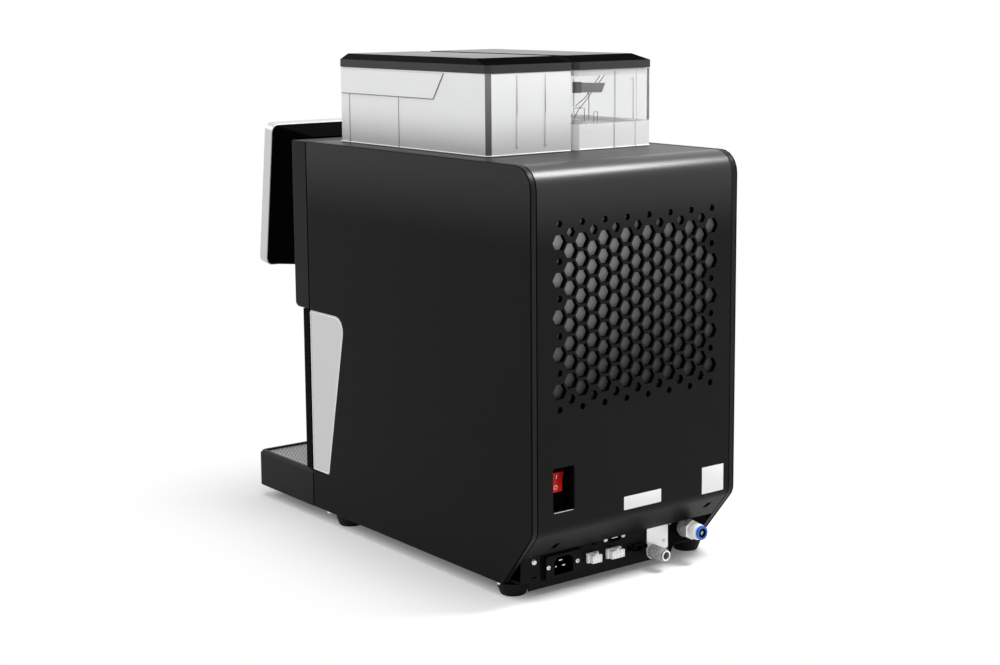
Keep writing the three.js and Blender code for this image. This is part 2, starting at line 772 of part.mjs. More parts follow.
function drainNipple() {
  const barbCount = 4;
  const root = plateY + drainPlate.thickness + fit;
  const barbPitch = drain.length / (barbCount + 1);
  const barbDepth = drain.radius / 8;
  const profile = [[drain.bore, root + fit], [drain.radius + barbDepth, root + fit]];
  for (let i = 0; i < barbCount; i += 1) {
    const at = root + (i + 1) * barbPitch;
    profile.push([drain.radius + barbDepth, at], [drain.radius - barbDepth, at + barbPitch / 3]);
  }
  profile.push([drain.radius - barbDepth, root + drain.length], [drain.bore, root + drain.length]);
  profile.push([drain.bore, root + fit]);
  return turnedAlongY(profile, drain.x, drain.z);
}

place('drain_plate', cutFrom(
  joined(
    alongY(
      rectangle(drainPlate.left, drain.z, drainPlate.right, drainPlate.high),
      plateY + fit, plateY + fit + drainPlate.thickness,
    ),
    turnedAlongY(
      rod(drainInset, plateY + fit, plateY + fit + drainPlate.thickness), drain.x, drain.z,
    ),
  ),
  turnedAlongY(rod(drain.bore, plateY - overrun, plateY + overrun), drain.x, drain.z),
), steel);
place('drain_nipple', drainNipple(), clearGrey);

// Water inlet: bracket, solenoid valve, nut, push-fit connector and its release collar
const water = {
  x: across('water'), z: 38, bore: 4.2, bodyRadius: 9.5, bodyHexWidth: 22, nutHexWidth: 24,
};
const valveDepth = 29;
const valveHexLength = 6;
const nutLength = 9;
const fittingLength = 12;
const collarReach = 5;
const bracketFrontY = plateY - sheet;
const valveFrontY = plateY - valveDepth;
const valveHexY = plateY + valveHexLength;
const nutY = valveHexY + nutLength;
const fittingEndY = nutY + fittingLength;

function valveBracket() {
  const valveBracketLeft = -coverHalf + mouldedWall + seam;
  const low = plateBottom + seam;
  const outline = [
    [plateLeftX - 2 * sheet, low], [plateLeftX - seam, low],
    [plateLeftX - seam, plateTop - sheet], [valveBracketLeft, plateTop - sheet],
    [valveBracketLeft, water.z], [water.x - water.bodyRadius - sheet, water.z - water.bodyRadius - sheet],
    [plateLeftX - water.bodyRadius, low + water.bodyRadius],
  ];
  const hole = rod(water.bodyRadius + fit, bracketFrontY - 2 * overrun, bracketFrontY + overrun);
  return cutFrom(
    alongY(outline, bracketFrontY, bracketFrontY - sheet), turnedAlongY(hole, water.x, water.z),
  );
}

function inletValve() {
  const coilRadius = 14;
  const coilEnd = bracketFrontY - sheet - fit;
  const stem = turnedAlongY(rod(water.bodyRadius, coilEnd - overrun, valveHexY), water.x, water.z);
  const coil = turnedAlongY(rod(coilRadius, valveFrontY, coilEnd), water.x, water.z);
  const hex = alongY(
    hexagon(water.x, water.z, water.bodyHexWidth), bracketFrontY + fit, valveHexY, edgeBreak,
  );
  const bore = turnedAlongY(rod(water.bore, coilEnd, valveHexY + overrun), water.x, water.z);
  return cutFrom(joined(coil, stem, hex), bore);
}

function fittingNut() {
  const hex = alongY(
    hexagon(water.x, water.z, water.nutHexWidth, Math.PI / 6), valveHexY + fit, nutY, edgeBreak,
  );
  return cutFrom(hex, turnedAlongY(rod(water.bore, valveHexY, nutY + overrun), water.x, water.z));
}

function pushFitting() {
  const shoulder = water.bodyRadius - sheet / 2;
  const seat = water.bore + sheet;
  const profile = [
    [water.bore, nutY + fit], [shoulder, nutY + fit], [water.bodyRadius, nutY + sheet],
    [water.bodyRadius, fittingEndY - sheet], [shoulder, fittingEndY], [seat + fit, fittingEndY],
    [seat + fit, fittingEndY - collarReach - sheet], [water.bore, fittingEndY - collarReach - sheet],
    [water.bore, nutY + fit],
  ];
  return turnedAlongY(profile, water.x, water.z);
}

function releaseCollar() {
  const seat = water.bore + sheet;
  const flangeY = fittingEndY + sheet;
  const profile = [
    [water.bore + fit, fittingEndY - collarReach], [seat, fittingEndY - collarReach], [seat, flangeY],
    [seat + sheet, flangeY], [seat + sheet, flangeY + sheet], [water.bore + fit, flangeY + sheet],
    [water.bore + fit, fittingEndY - collarReach],
  ];
  return turnedAlongY(profile, water.x, water.z);
}

place('valve_bracket', valveBracket(), blackPaint);
place('water_inlet_valve', inletValve(), zincAlloy);
place('fitting_nut', fittingNut(), whiteNylon);
place('push_fitting', pushFitting(), clearGrey);
place('release_collar', releaseCollar(), blueCollet);

// Chassis: base pan with feet, shelf, bulkhead and top deck
function basePlate() {
  const flangeHeight = 22;
  const tongueInset = 40;
  const tongueHalf = halfWidth - tongueInset;
  const tongueFront = -trayDepth + trayRim + trayLedge;
  const slotWidth = 6;
  const slotLength = 70;
  const slotCount = 6;
  const slotPitch = 22;
  const runnerWidth = 12;
  const runnerTop = trayFloor - mouldedWall - fit;
  const runners = [1, -1].map((side) => block(
    side * (tongueHalf - runnerWidth), side * tongueHalf, tongueFront, -4 * seam,
    baseTop - edgeBreak, runnerTop,
  ));
  const base = joined(
    block(-innerHalf + fit, innerHalf - fit, 2 * seam, baseRearY, baseZ, baseTop),
    block(-tongueHalf, tongueHalf, tongueFront, 4 * seam, baseZ, baseTop),
    block(-innerHalf + fit, -innerHalf + fit + sheet, 2 * seam, chamferFootY, baseZ, baseZ + flangeHeight),
    block(innerHalf - fit - sheet, innerHalf - fit, 2 * seam, chamferFootY, baseZ, baseZ + flangeHeight),
    ...runners,
  );
  const inletRelief = block(
    inlet.x - inlet.width / 2 - 2 * mouldedWall, inlet.x + inlet.width / 2 + 2 * mouldedWall,
    plateY - inlet.depth - seam, plateY, baseZ - overrun, baseTop + overrun,
  );
  const slots = Array.from({ length: slotCount }, (_, i) => {
    const x = (i - (slotCount - 1) / 2) * slotPitch;
    const y = (bulkheadY + baseRearY) / 2;
    const corners = rectangle(x - slotWidth / 2, y - slotLength / 2, x + slotWidth / 2, y + slotLength / 2);
    return alongZ(corners, baseZ - overrun, baseTop + overrun);
  });
  return cutFrom(base, inletRelief, ...slots);
}

function foot(x, y) {
  const radius = 18;
  const solePad = 14.5;
  const stud = 9;
  const domeShare = 0.7;
  const topZ = footHeight - fit;
  return turned([
    [0, 0], [solePad - edgeBreak, 0], [solePad, edgeBreak], [radius, topZ * domeShare], [radius, topZ],
    [stud, topZ], [stud, baseZ - fit], [0, baseZ - fit],
  ], x, y);
}

function innerShelf() {
  const lip = 10;
  const slotHalf = 40;
  return joined(
    block(-innerHalf + fit, innerHalf - fit, 2 * seam, bulkheadY - fit, shelfZ, shelfZ + shelfThickness),
    block(-innerHalf + fit, -innerHalf + fit + sheet, 2 * seam, bulkheadY - fit, shelfZ, shelfZ + lip),
    block(innerHalf - fit - sheet, innerHalf - fit, 2 * seam, bulkheadY - fit, shelfZ, shelfZ + lip),
    block(-slotHalf, slotHalf, bulkheadY - fit - sheet, bulkheadY - fit, shelfZ, shelfZ + lip),
  );
}

function bulkhead() {
  const holeRadius = 11;
  const halfSpan = coverHalf - sheet - fit;
  const [low, high] = [baseTop + fit, deckUnderside - fit];
  const holeHeight = 66;
  const flange = 12;
  const holeShares = [-0.7, -0.45, 0.7];
  const pipeHoles = holeShares.map((share) => turnedAlongY(
    rod(holeRadius, bulkheadY - overrun, bulkheadY + overrun), share * halfSpan, low + holeHeight,
  ));
  const panel = joined(
    block(-halfSpan, halfSpan, bulkheadY, bulkheadY + sheet, low, high),
    block(-halfSpan, halfSpan, bulkheadY, bulkheadY + flange, high - sheet, high),
    block(-halfSpan, halfSpan, bulkheadY, bulkheadY + flange, low, low + sheet),
  );
  return cutFrom(panel, ...pipeHoles);
}

function topDeck() {
  const flange = 10;
  const frontY = 2 * seam;
  const rearY = coverLipY - seam;
  const deck = joined(
    block(-coverHalf, coverHalf, frontY, rearY, deckUnderside, cabinetTop),
    block(-coverHalf, -coverHalf + sheet, frontY, rearY - flange, cabinetTop - flange, cabinetTop),
    block(coverHalf - sheet, coverHalf, frontY, rearY - flange, cabinetTop - flange, cabinetTop),
  );
  const hole = (neckRadius, x, y) => turned(
    rod(neckRadius + runningGap, deckUnderside - overrun, cabinetTop + overrun), x, y,
  );
  return cutFrom(
    deck,
    hole(beanNeckRadius, beanOutletX, beanOutletY),
    hole(augerRadius + troughClearance + neckWall, augerX, canisterOutletY),
  );
}

place('base_plate', basePlate(), steel);
for (const [label, side] of [['right', 1], ['left', -1]]) {
  place(`foot_front_${label}`, foot(side * (halfWidth - frontFootInset), frontFootSetBack), rubber);
  place(
    `foot_rear_${label}`, foot(side * (halfWidth - rearFootInset), cabinetDepth - rearFootSetBack),
    rubber,
  );
}
place('inner_shelf', innerShelf(), steel);
place('bulkhead', bulkhead(), steel);
place('top_deck', topDeck(), blackPaint);

// Front fascia behind the cups, with the mouth for the grounds bin
function fascia() {
  const mouth = rectangle(-binHalfWidth, shelfZ - overrun, binHalfWidth, binTop + runningGap);
  const lowerLip = block(
    -binHalfWidth - mouldedWall, binHalfWidth + mouldedWall,
    -fasciaDepth, -seam, fasciaBottom, shelfZ + shelfThickness - runningGap,
  );
  const outer = alongY(
    rectangle(-halfWidth, fasciaBottom, halfWidth, fasciaTop), -fasciaDepth, -seam, edgeBreak,
  );
  const pocket = alongY(
    rectangle(-halfWidth + doorWall, fasciaBottom + doorWall, halfWidth - doorWall, fasciaTop - doorWall),
    -fasciaDepth + doorWall, overrun,
  );
  const surround = alongY(
    rectangle(-binHalfWidth - mouldedWall, fasciaBottom, binHalfWidth + mouldedWall,
      binTop + runningGap + mouldedWall),
    -fasciaDepth, -seam,
  );
  const opened = cutFrom(joined(cutFrom(outer, pocket), surround), alongY(mouth, -2 * fasciaDepth, overrun));
  const pinPost = turned(
    rod(hingeKnuckleRadius - edgeBreak, fasciaTop / 2, fasciaTop - edgeBreak), hingeX, hingeY,
  );
  return joined(opened, lowerLip.intersect(outer), pinPost.intersect(outer));
}

place('front_fascia', fascia(), blackPlastic);

// Door: moulded shell hung on two pins at its left rear corner
const upperHingeDrop = 15;
const upperHingeZ = cabinetTop - upperHingeDrop;
const hingeBracketThickness = 3;
const pinLength = 14;

function doorShell() {
  const lowRadius = 9;
  const profile = [
    [-doorDepth, doorBottom, lowRadius], [-seam, doorBottom], [-seam, cabinetTop],
    [-doorDepth, cabinetTop, edgeBreak * 2],
  ];
  const plan = [
    [-halfWidth, -doorDepth, edgeBreak * 2], [halfWidth, -doorDepth, edgeBreak * 2], [halfWidth, -seam],
    [-halfWidth, -seam, -hingeY - seam],
  ];
  const outer = alongX(profile, -halfWidth, halfWidth)
    .intersect(alongZ(plan, doorBottom - overrun, cabinetTop + overrun));
  const pocket = block(
    -halfWidth + doorWall, halfWidth - doorWall, -doorDepth + doorWall, overrun,
    doorBottom + doorWall, cabinetTop - doorWall,
  );
  const knuckle = (low, high) => turned(rod(hingeKnuckleRadius - edgeBreak, low, high), hingeX, hingeY);
  const pinHole = (low, high) => turned(rod(hingePinRadius + runningGap, low, high), hingeX, hingeY);
  const bracketSlot = block(
    -halfWidth - overrun, hingeX + 2 * hingeKnuckleRadius, hingeY - hingeKnuckleRadius - runningGap, overrun,
    upperHingeZ - runningGap, upperHingeZ + hingeBracketThickness + runningGap,
  );
  const ribZ = (doorBottom + cabinetTop) / 2;
  const rib = block(-halfWidth + edgeBreak, halfWidth - edgeBreak, -doorDepth + edgeBreak, -doorDepth / 2,
    ribZ, ribZ + sheet);
  const body = joined(
    cutFrom(outer, pocket), rib,
    knuckle(doorBottom + edgeBreak, doorBottom + 2 * pinLength),
    knuckle(upperHingeZ - 2 * pinLength, cabinetTop - edgeBreak),
  ).intersect(outer);
  return cutFrom(
    body, bracketSlot,
    pinHole(doorBottom - overrun, doorBottom + pinLength + runningGap),
    pinHole(upperHingeZ - pinLength - runningGap, upperHingeZ),
  );
}

function upperHingeBracket() {
  const armHalf = hingePinRadius + edgeBreak;
  const bolted = 26;
  const arm = block(hingeX - armHalf, hingeX + armHalf + 2 * overrun, hingeY, seam + panelThickness,
    upperHingeZ, upperHingeZ + hingeBracketThickness);
  const tab = block(-coverHalf + sheet + fit, -coverHalf + bolted, 2 * seam + fit, seam + panelThickness,
    upperHingeZ - bolted / 2, deckUnderside - fit);
  const eye = turned(rod(armHalf, upperHingeZ, upperHingeZ + hingeBracketThickness), hingeX, hingeY);
  const pin = turned(rod(hingePinRadius, upperHingeZ - pinLength, upperHingeZ + edgeBreak), hingeX, hingeY);
  const link = block(hingeX - armHalf, -coverHalf + bolted, seam + fit * 4, seam + panelThickness,
    upperHingeZ, upperHingeZ + hingeBracketThickness);
  const relief = block(
    -halfWidth, -innerHalf + fit, seam / 2, cabinetDepth, upperHingeZ - overrun, cabinetTop,
  );
  return joined(cutFrom(joined(arm, tab, link), relief), eye, pin);
}

place('front_door', doorShell(), blackPlastic);
place('hinge_bracket_upper', upperHingeBracket(), steel);
place('hinge_pin_lower', turned(
  rod(hingePinRadius, fasciaTop + fit, doorBottom + pinLength), hingeX, hingeY,
), steel);

// Screen: tilted rim and glass, with a tapering back shell that reaches to the door
const screen = new THREE.Group();
screen.position.set(0, screenCentreY, screenCentreZ);
screen.rotation.x = -screenTilt;
frame.add(screen);
const screenOutline = rectangle(
  -screenHalfWidth, -screenHeight / 2, screenHalfWidth, screenHeight / 2, screenRadius,
);

function screenRim() {
  const glassSeat = offsetCorners(screenOutline, rimWidth);
  const ledge = offsetCorners(screenOutline, rimWidth + 2 * sheet);
  return cutFrom(
    alongY(screenOutline, 0, screenRimThickness, edgeBreak),
    alongY(glassSeat, -overrun, glassThickness + fit + edgeBreak),
    alongY(ledge, -overrun, screenRimThickness + overrun),
  );
}

function screenShell() {
  const tilted = ({ x, y }) => new THREE.Vector3(x, screenRimThickness + fit, y)
    .applyAxisAngle(new THREE.Vector3(1, 0, 0), -screenTilt)
    .add(screen.position);
  const rimCorners = offsetCorners(screenOutline, rimWidth / 4);
  const doorCorners = rectangle(-shellHalfWidth, shellBottom, shellHalfWidth, shellTop, screenRadius);
  const atDoor = ({ x, y }) => new THREE.Vector3(x, -doorDepth - fit, y);
  const outer = loft([roundedRing(rimCorners).map(tilted), roundedRing(doorCorners).map(atDoor)]);
  const innerRim = offsetCorners(rimCorners, doorWall);
  const innerDoor = offsetCorners(doorCorners, doorWall);
  const forward = ({ x, y }) => tilted({ x, y }).add(new THREE.Vector3(0, -fit, 0));
  const nearDoor = ({ x, y }) => new THREE.Vector3(x, -doorDepth - fit - doorWall, y);
  const inner = loft([roundedRing(innerRim).map(forward), roundedRing(innerDoor).map(nearDoor)]);
  return cutFrom(outer, inner);
}

place('screen_frame', screenRim(), brushedSilver, screen);
place('screen_glass', alongY(
  offsetCorners(screenOutline, rimWidth + fit), edgeBreak, edgeBreak + glassThickness,
), glossBlack, screen);
place('screen_shell', screenShell(), blackPlastic);

// Spout: guide on the door, sliding head and two nozzles
function spoutGuide() {
  const rear = -doorDepth - fit;
  const flangeHeight = 30;
  const flangeReach = 10;
  const flangeHalf = guideHalfWidth + flangeReach;
  const column = alongY(
    rectangle(-guideHalfWidth, guideBottom, guideHalfWidth, guideTop, edgeBreak), rear - guideDepth, rear,
  );
  const flange = alongY(
    rectangle(-flangeHalf, guideTop - flangeHeight, flangeHalf, guideTop, edgeBreak), rear - sheet, rear,
  );
  return joined(column, flange);
}

const nozzleY = (spoutFront + spoutRear) / 2 - sheet;
const spoutBottom = spoutTop - spoutHeight;

function spoutHead() {
  const cheek = 3;
  const cheekReach = guideDepth - 2 * sheet;
  const noseRadius = 16;
  const bottomSlope = 12;
  const cheekDrop = 1;
  const plan = [
    [-spoutHalfWidth, spoutFront, noseRadius], [spoutHalfWidth, spoutFront, noseRadius],
    [spoutHalfWidth, spoutRear], [-spoutHalfWidth, spoutRear],
  ];
  const side = [
    [spoutFront, spoutBottom], [nozzleY + 2 * nozzleRadius, spoutBottom],
    [spoutRear, spoutBottom + bottomSlope], [spoutRear, spoutTop], [spoutFront, spoutTop, noseRadius / 2],
  ];
  const body = alongZ(plan, spoutBottom, spoutTop).intersect(alongX(side, -halfWidth, halfWidth));
  const cheeks = [1, -1].map((hand) => block(
    hand * (guideHalfWidth + runningGap), hand * (guideHalfWidth + runningGap + cheek),
    spoutRear - sheet, spoutRear + cheekReach, spoutBottom + bottomSlope, spoutTop - cheekDrop,
  ));
  const nozzleSeats = [1, -1].map((hand) => turned(
    rod(nozzleRadius + fit, spoutBottom - overrun, spoutBottom + nozzleLength / 2),
    hand * nozzleSpacing / 2, nozzleY,
  ));
  const chamberFloor = spoutBottom + bottomSlope;
  const chamber = block(
    -guideHalfWidth, guideHalfWidth, spoutFront + noseRadius / 2, spoutRear + overrun,
    chamberFloor, spoutTop - doorWall,
  );
  const drops = [1, -1].map((hand) => turned(
    rod(nozzleBore, spoutBottom, chamberFloor + overrun), hand * nozzleSpacing / 2, nozzleY,
  ));
  return cutFrom(joined(body, ...cheeks), chamber, ...drops, ...nozzleSeats);
}

function nozzle(hand) {
  const top = spoutBottom + nozzleLength / 2 - fit;
  const tip = spoutBottom - nozzleLength;
  const profile = [
    [nozzleBore, tip], [nozzleRadius - edgeBreak, tip], [nozzleRadius, tip + edgeBreak],
    [nozzleRadius, top], [nozzleBore, top], [nozzleBore, tip],
  ];
  return turned(profile, hand * nozzleSpacing / 2, nozzleY);
}

place('spout_guide', spoutGuide(), blackPlastic);
place('spout_head', spoutHead(), glossBlack);
place('nozzle_right', nozzle(1), chrome);
place('nozzle_left', nozzle(-1), chrome);

// Drip tray with its perforated grille
const trayCorners = [
  [-halfWidth, -trayDepth, trayRadius], [halfWidth, -trayDepth, trayRadius],
  [halfWidth, -seam], [-halfWidth, -seam],
];
const trayInset = (side, rear = side) => offsetCorners(trayCorners, [side, side, rear, side]);
const grilleTop = trayTop - grilleDrop;
const seatBack = fasciaDepth + grilleClearance - seam;

function dripTray() {
  const outer = loft([
    ringAt(trayCorners, footHeight), ringAt(trayCorners, trayTop - trayBevel),
    ringAt(trayInset(trayBevel, 0), trayTop),
  ]);
  const seat = alongZ(trayInset(trayRim, seatBack), grilleTop - grilleThickness - fit, trayTop + overrun);
  const basin = alongZ(
    trayInset(trayRim + trayLedge, seatBack + trayLedge), trayFloor, trayTop + overrun,
  );
  const underside = alongZ(
    trayInset(mouldedWall, -overrun), footHeight - overrun, trayFloor - mouldedWall,
  );
  const rearHollow = block(
    -halfWidth + mouldedWall, halfWidth - mouldedWall, -seam - seatBack + mouldedWall, -seam - mouldedWall,
    footHeight - overrun, trayTop - trayBevel,
  );
  return cutFrom(outer, seat, basin, underside, rearHollow);
}

function dripGrille() {
  const columns = 8;
  const rows = 5;
  const bar = 4;
  const border = 6;
  const plate = alongZ(
    trayInset(trayRim + fit, seatBack + fit), grilleTop - grilleThickness, grilleTop,
  );
  const left = -halfWidth + trayRim + border;
  const front = -trayDepth + trayRim + border;
  const pitchX = -2 * left / columns;
  const pitchY = (-seam - seatBack - border - front) / rows;
  const slots = [];
  for (let column = 0; column < columns; column += 1) {
    for (let row = 0; row < rows; row += 1) {
      const x = left + column * pitchX;
      const y = front + row * pitchY;
      slots.push(rectangle(x + bar / 2, y + bar / 2, x + pitchX - bar / 2, y + pitchY - bar / 2));
    }
  }
  const holes = extrusion(slots.map((corners) => roundedRing(corners)), grilleThickness + 2 * overrun, 0);
  return cutFrom(plate, solid(holes.translate(0, 0, grilleTop - grilleThickness - overrun)));
}

place('drip_tray', dripTray(), blackPlastic);
place('drip_grille', dripGrille(), steel);

// Grounds bin: a drawer and the front that closes the fascia, with a slot for the fingers
const binLow = shelfZ + shelfThickness + fit;
const binSide = binHalfWidth - runningGap;
const gripDepth = 6;

function groundsBin() {
  const front = -fasciaDepth + gripDepth;
  return cutFrom(
    block(-binSide, binSide, front, binDepth, binLow, binTop),
    block(
      -binSide + mouldedWall, binSide - mouldedWall, front + mouldedWall, binDepth - mouldedWall,
      binLow + mouldedWall, binTop + overrun,
    ),
  );
}

function binFront() {
  const gripHalf = 34;
  const gripHeight = 9;
  return cutFrom(
    block(-binSide, binSide, -fasciaDepth, -fasciaDepth + gripDepth - fit, binLow, binTop),
    block(
      -gripHalf, gripHalf, -fasciaDepth - overrun, -fasciaDepth + gripDepth + overrun,
      binTop - gripHeight - gripDepth, binTop - gripDepth,
    ),
  );
}

place('grounds_bin', groundsBin(), blackPlastic);
place('bin_front', binFront(), blackPlastic);

// Hoppers: outlines in plan, walls, sloping floors and necks
const hopperBottom = cabinetTop + runningGap;
const beanCorners = [
  [hopperSplitX + hopperGap / 2, hopperFront, hopperCornerRadius],
  [hopperHalfSpan, hopperFront, hopperCornerRadius],
  [hopperHalfSpan, hopperRear - hopperCornerCut],
  [hopperHalfSpan - hopperCornerCut, hopperRear],
  [hopperSplitX + hopperGap / 2, hopperRear],
];
const canisterCorners = [
  [-hopperHalfSpan, hopperFront, hopperCornerRadius],
  [hopperSplitX - hopperGap / 2, hopperFront],
  [hopperSplitX - hopperGap / 2, hopperRear - hopperCornerCut],
  [hopperSplitX - hopperGap / 2 - hopperCornerCut, hopperRear],
  [-hopperHalfSpan, hopperRear],
];
const floorDrop = 3.12;

// Splits the long edges of a ring so that, seen from (x, y), no step turns by more than mouthStep
const mouthStep = THREE.MathUtils.degToRad(18);

function spreadRing(ring, x, y) {
  const centre = new THREE.Vector2(x, y);
  return ring.flatMap((from, index) => {
    const to = ring[(index + 1) % ring.length];
    const turn = from.clone().sub(centre).angleTo(to.clone().sub(centre));
    const steps = Math.ceil(turn / mouthStep);
    return Array.from({ length: steps }, (_, step) => from.clone().lerp(to, step / steps));
  });
}

// A sloping floor from the hopper's walls to a round mouth: a funnel less the same funnel one wall higher
function funnelFloor(corners, x, y, radius, mouthZ) {
  const inner = offsetCorners(corners, hopperWall / 2);
  const rim = spreadRing(roundedRing(inner), x, y);
  const mouth = rim.map((point) => {
    const angle = Math.atan2(point.y - y, point.x - x);
    return new THREE.Vector3(x + radius * Math.cos(angle), y + radius * Math.sin(angle), mouthZ);
  });
  const upper = rim.map((point) => new THREE.Vector3(point.x, point.y, hopperFloorStart));
  const lowered = (ring, drop) => ring.map((point) => point.clone().setZ(point.z - drop));
  const shapeAt = (drop) => loft([lowered(mouth, drop), lowered(upper, drop)]);
  const above = alongZ(inner, hopperFloorStart - floorDrop - edgeBreak, hopperFloorStart);
  return cutFrom(joined(shapeAt(floorDrop), above), shapeAt(0));
}

function hopperWalls(corners) {
  return cutFrom(
    alongZ(corners, hopperBottom, hopperTop),
    alongZ(offsetCorners(corners, hopperWall), hopperBottom - overrun, hopperTop + overrun),
  );
}

function beanHopper() {
  const panelRearSpace = 102;
  const panelStep = 0.9;
  const panelDrop = 30.5;
  const panelLow = hopperTop - panelDrop;
  const panelRear = hopperRear - panelRearSpace;
  const panelSlant = 20;
  const ribHalf = 0.7;
  const ribReach = 0.8;
  const sideRibs = [52.5, 158];
  const rearRibInsets = [41, 81];
  const neckLow = hopperBottom - neckDrop;
  const mouthZ = hopperBottom + floorDrop + edgeBreak;
  const mouthRadius = beanNeckRadius - neckWall;
  const panel = alongX([
    [hopperFront + hopperCornerRadius, panelLow], [panelRear, panelLow],
    [panelRear + panelSlant, hopperTop - sheet], [hopperFront + hopperCornerRadius, hopperTop - sheet],
  ], hopperHalfSpan - hopperWall / 2, hopperHalfSpan + panelStep);
  const ribsOnSide = sideRibs.map((y) => block(
    hopperHalfSpan - hopperWall / 2, hopperHalfSpan + ribReach, y - ribHalf, y + ribHalf,
    hopperBottom + edgeBreak, panelLow + edgeBreak,
  ));
  const ribsOnRear = rearRibInsets.map((inset) => hopperHalfSpan - inset).map((x) => alongX([
    [hopperRear - hopperWall / 2, hopperBottom + 4 * sheet],
    [hopperRear + 2 * ribReach, hopperBottom + 5 * sheet],
    [hopperRear + ribReach / 2, hopperTop - sheet],
    [hopperRear - hopperWall / 2, hopperTop - sheet],
  ], x - ribHalf, x + ribHalf));
  const neck = turned(rod(beanNeckRadius, neckLow, mouthZ), beanOutletX, beanOutletY);
  const floor = funnelFloor(beanCorners, beanOutletX, beanOutletY, mouthRadius, mouthZ);
  const bore = turned(rod(mouthRadius, neckLow - overrun, mouthZ + edgeBreak), beanOutletX, beanOutletY);
  const body = joined(hopperWalls(beanCorners), floor, neck, panel, ...ribsOnSide, ...ribsOnRear);
  return cutFrom(body, bore);
}

function powderCanister() {
  const ribHalf = 0.7;
  const ribReach = 0.8;
  const rearRibInsets = [53.5, 21];
  const troughRadius = augerRadius + troughClearance;
  const troughFront = hopperFront + hopperWall;
  const troughRear = hopperRear - hopperWall;
  const mouthX = [augerX - troughRadius, augerX + troughRadius];
  const outerX = [mouthX[0] - hopperWall, mouthX[1] + hopperWall];
  const wallInner = offsetCorners(canisterCorners, hopperWall / 2);
  const trench = (x, wallDepth, shift) => loft([
    ringAt(rectangle(x[0], troughFront, x[1], troughRear), augerZ - shift),
    ringAt(rectangle(
      -hopperHalfSpan + wallDepth, hopperFront + wallDepth,
      hopperSplitX - hopperGap / 2 - wallDepth, hopperRear - wallDepth,
    ), hopperFloorStart - shift),
  ]);
  const troughShell = joined(
    turnedAlongY(
      rod(troughRadius + hopperWall, troughFront - edgeBreak, troughRear + edgeBreak), augerX, augerZ,
    ),
    trench(outerX, hopperWall / 2, floorDrop),
    alongZ(wallInner, hopperFloorStart - floorDrop - edgeBreak, hopperFloorStart),
  ).intersect(alongZ(wallInner, hopperBottom, hopperFloorStart));
  const troughBore = joined(
    turnedAlongY(rod(troughRadius, troughFront, troughRear), augerX, augerZ),
    trench(mouthX, hopperWall, 0),
    alongZ(offsetCorners(canisterCorners, hopperWall), hopperFloorStart - fit, hopperTop + overrun),
  );
  const neckLow = hopperBottom - neckDrop;
  const neckOutline = rod(troughRadius + neckWall, neckLow, augerZ - troughRadius / 2);
  const neck = turned(neckOutline, augerX, canisterOutletY);
  const neckBore = turned(rod(troughRadius, neckLow - overrun, augerZ), augerX, canisterOutletY);
  const ribsOnRear = rearRibInsets.map((inset) => inset - hopperHalfSpan).map((x) => block(
    x - ribHalf, x + ribHalf, hopperRear - hopperWall / 2, hopperRear + ribReach,
    hopperBottom + edgeBreak, hopperTop - sheet,
  ));
  return cutFrom(
    joined(hopperWalls(canisterCorners), troughShell, neck, ...ribsOnRear), troughBore, neckBore,
  );
}

function lid(corners) {
  const outline = offsetCorners(corners, -lidOverhang);
  const low = hopperTop + runningGap;
  const shoulder = low + lidSideHeight;
  const crown = lidCrown(outline, shoulder, shoulder + lidCrownHeight);
  const side = alongZ(outline, low, shoulder);
  const skirtOuter = offsetCorners(corners, hopperWall + runningGap);
  const skirt = alongZ(skirtOuter, low - lidSkirt, low + edgeBreak);
  const inner = offsetCorners(skirtOuter, mouldedWall);
  const hollow = joined(
    alongZ(inner, low - lidSkirt - overrun, shoulder - mouldedWall),
    lidCrown(inner, shoulder - mouldedWall - edgeBreak, shoulder + lidCrownHeight - mouldedWall),
  );
  return cutFrom(joined(side, crown, skirt), hollow);
}

// The crown leans in steeply along the sides and the front and gently at the rear
function lidCrown(outline, shoulder, top) {
  const ring = roundedRing(outline);
  const xs = ring.map((point) => point.x);
  const ys = ring.map((point) => point.y);
  const [left, right] = [Math.min(...xs), Math.max(...xs)];
  const [front, rear] = [Math.min(...ys), Math.max(...ys)];
  const scaleX = 1 - 2 * lidSideSlope / (right - left);
  const scaleY = 1 - (lidFrontSlope + lidRearSlope) / (rear - front);
  return loft([
    ring.map(({ x, y }) => new THREE.Vector3(x, y, shoulder)),
    ring.map(({ x, y }) => new THREE.Vector3(
      left + lidSideSlope + (x - left) * scaleX, front + lidFrontSlope + (y - front) * scaleY, top,
    )),
  ]);
}

place('bean_hopper', beanHopper(), frosted);
place('bean_hopper_lid', lid(beanCorners), glossBlack);
place('powder_canister', powderCanister(), clear);
place('powder_canister_lid', lid(canisterCorners), glossBlack);

// Powder dosing: a screw in the trough turns a stirring wheel above it
function auger() {
  const coreRadius = 4;
  const turns = 4;
  const slicesPerTurn = 10;
  const startY = hopperFront + hopperWall + runningGap;
  const length = hopperRear - hopperFront - 2 * hopperWall - 2 * runningGap;
  const flight = augerRadius - runningGap;
  const section = [
    [flight, edgeBreak], [0, coreRadius], [-flight, edgeBreak],
    [-flight, -edgeBreak], [0, -coreRadius], [flight, -edgeBreak],
  ];
  const slices = turns * slicesPerTurn;
  return loft(Array.from({ length: slices + 1 }, (_, slice) => {
    const y = startY + length * slice / slices;
    const angle = 2 * Math.PI * turns * slice / slices;
    return section.map(([across, up]) => new THREE.Vector3(
      augerX + across * Math.cos(angle) - up * Math.sin(angle), y,
      augerZ + across * Math.sin(angle) + up * Math.cos(angle),
    ));
  }));
}

const agitatorZ = augerZ + augerRadius + agitatorRadius + seam;

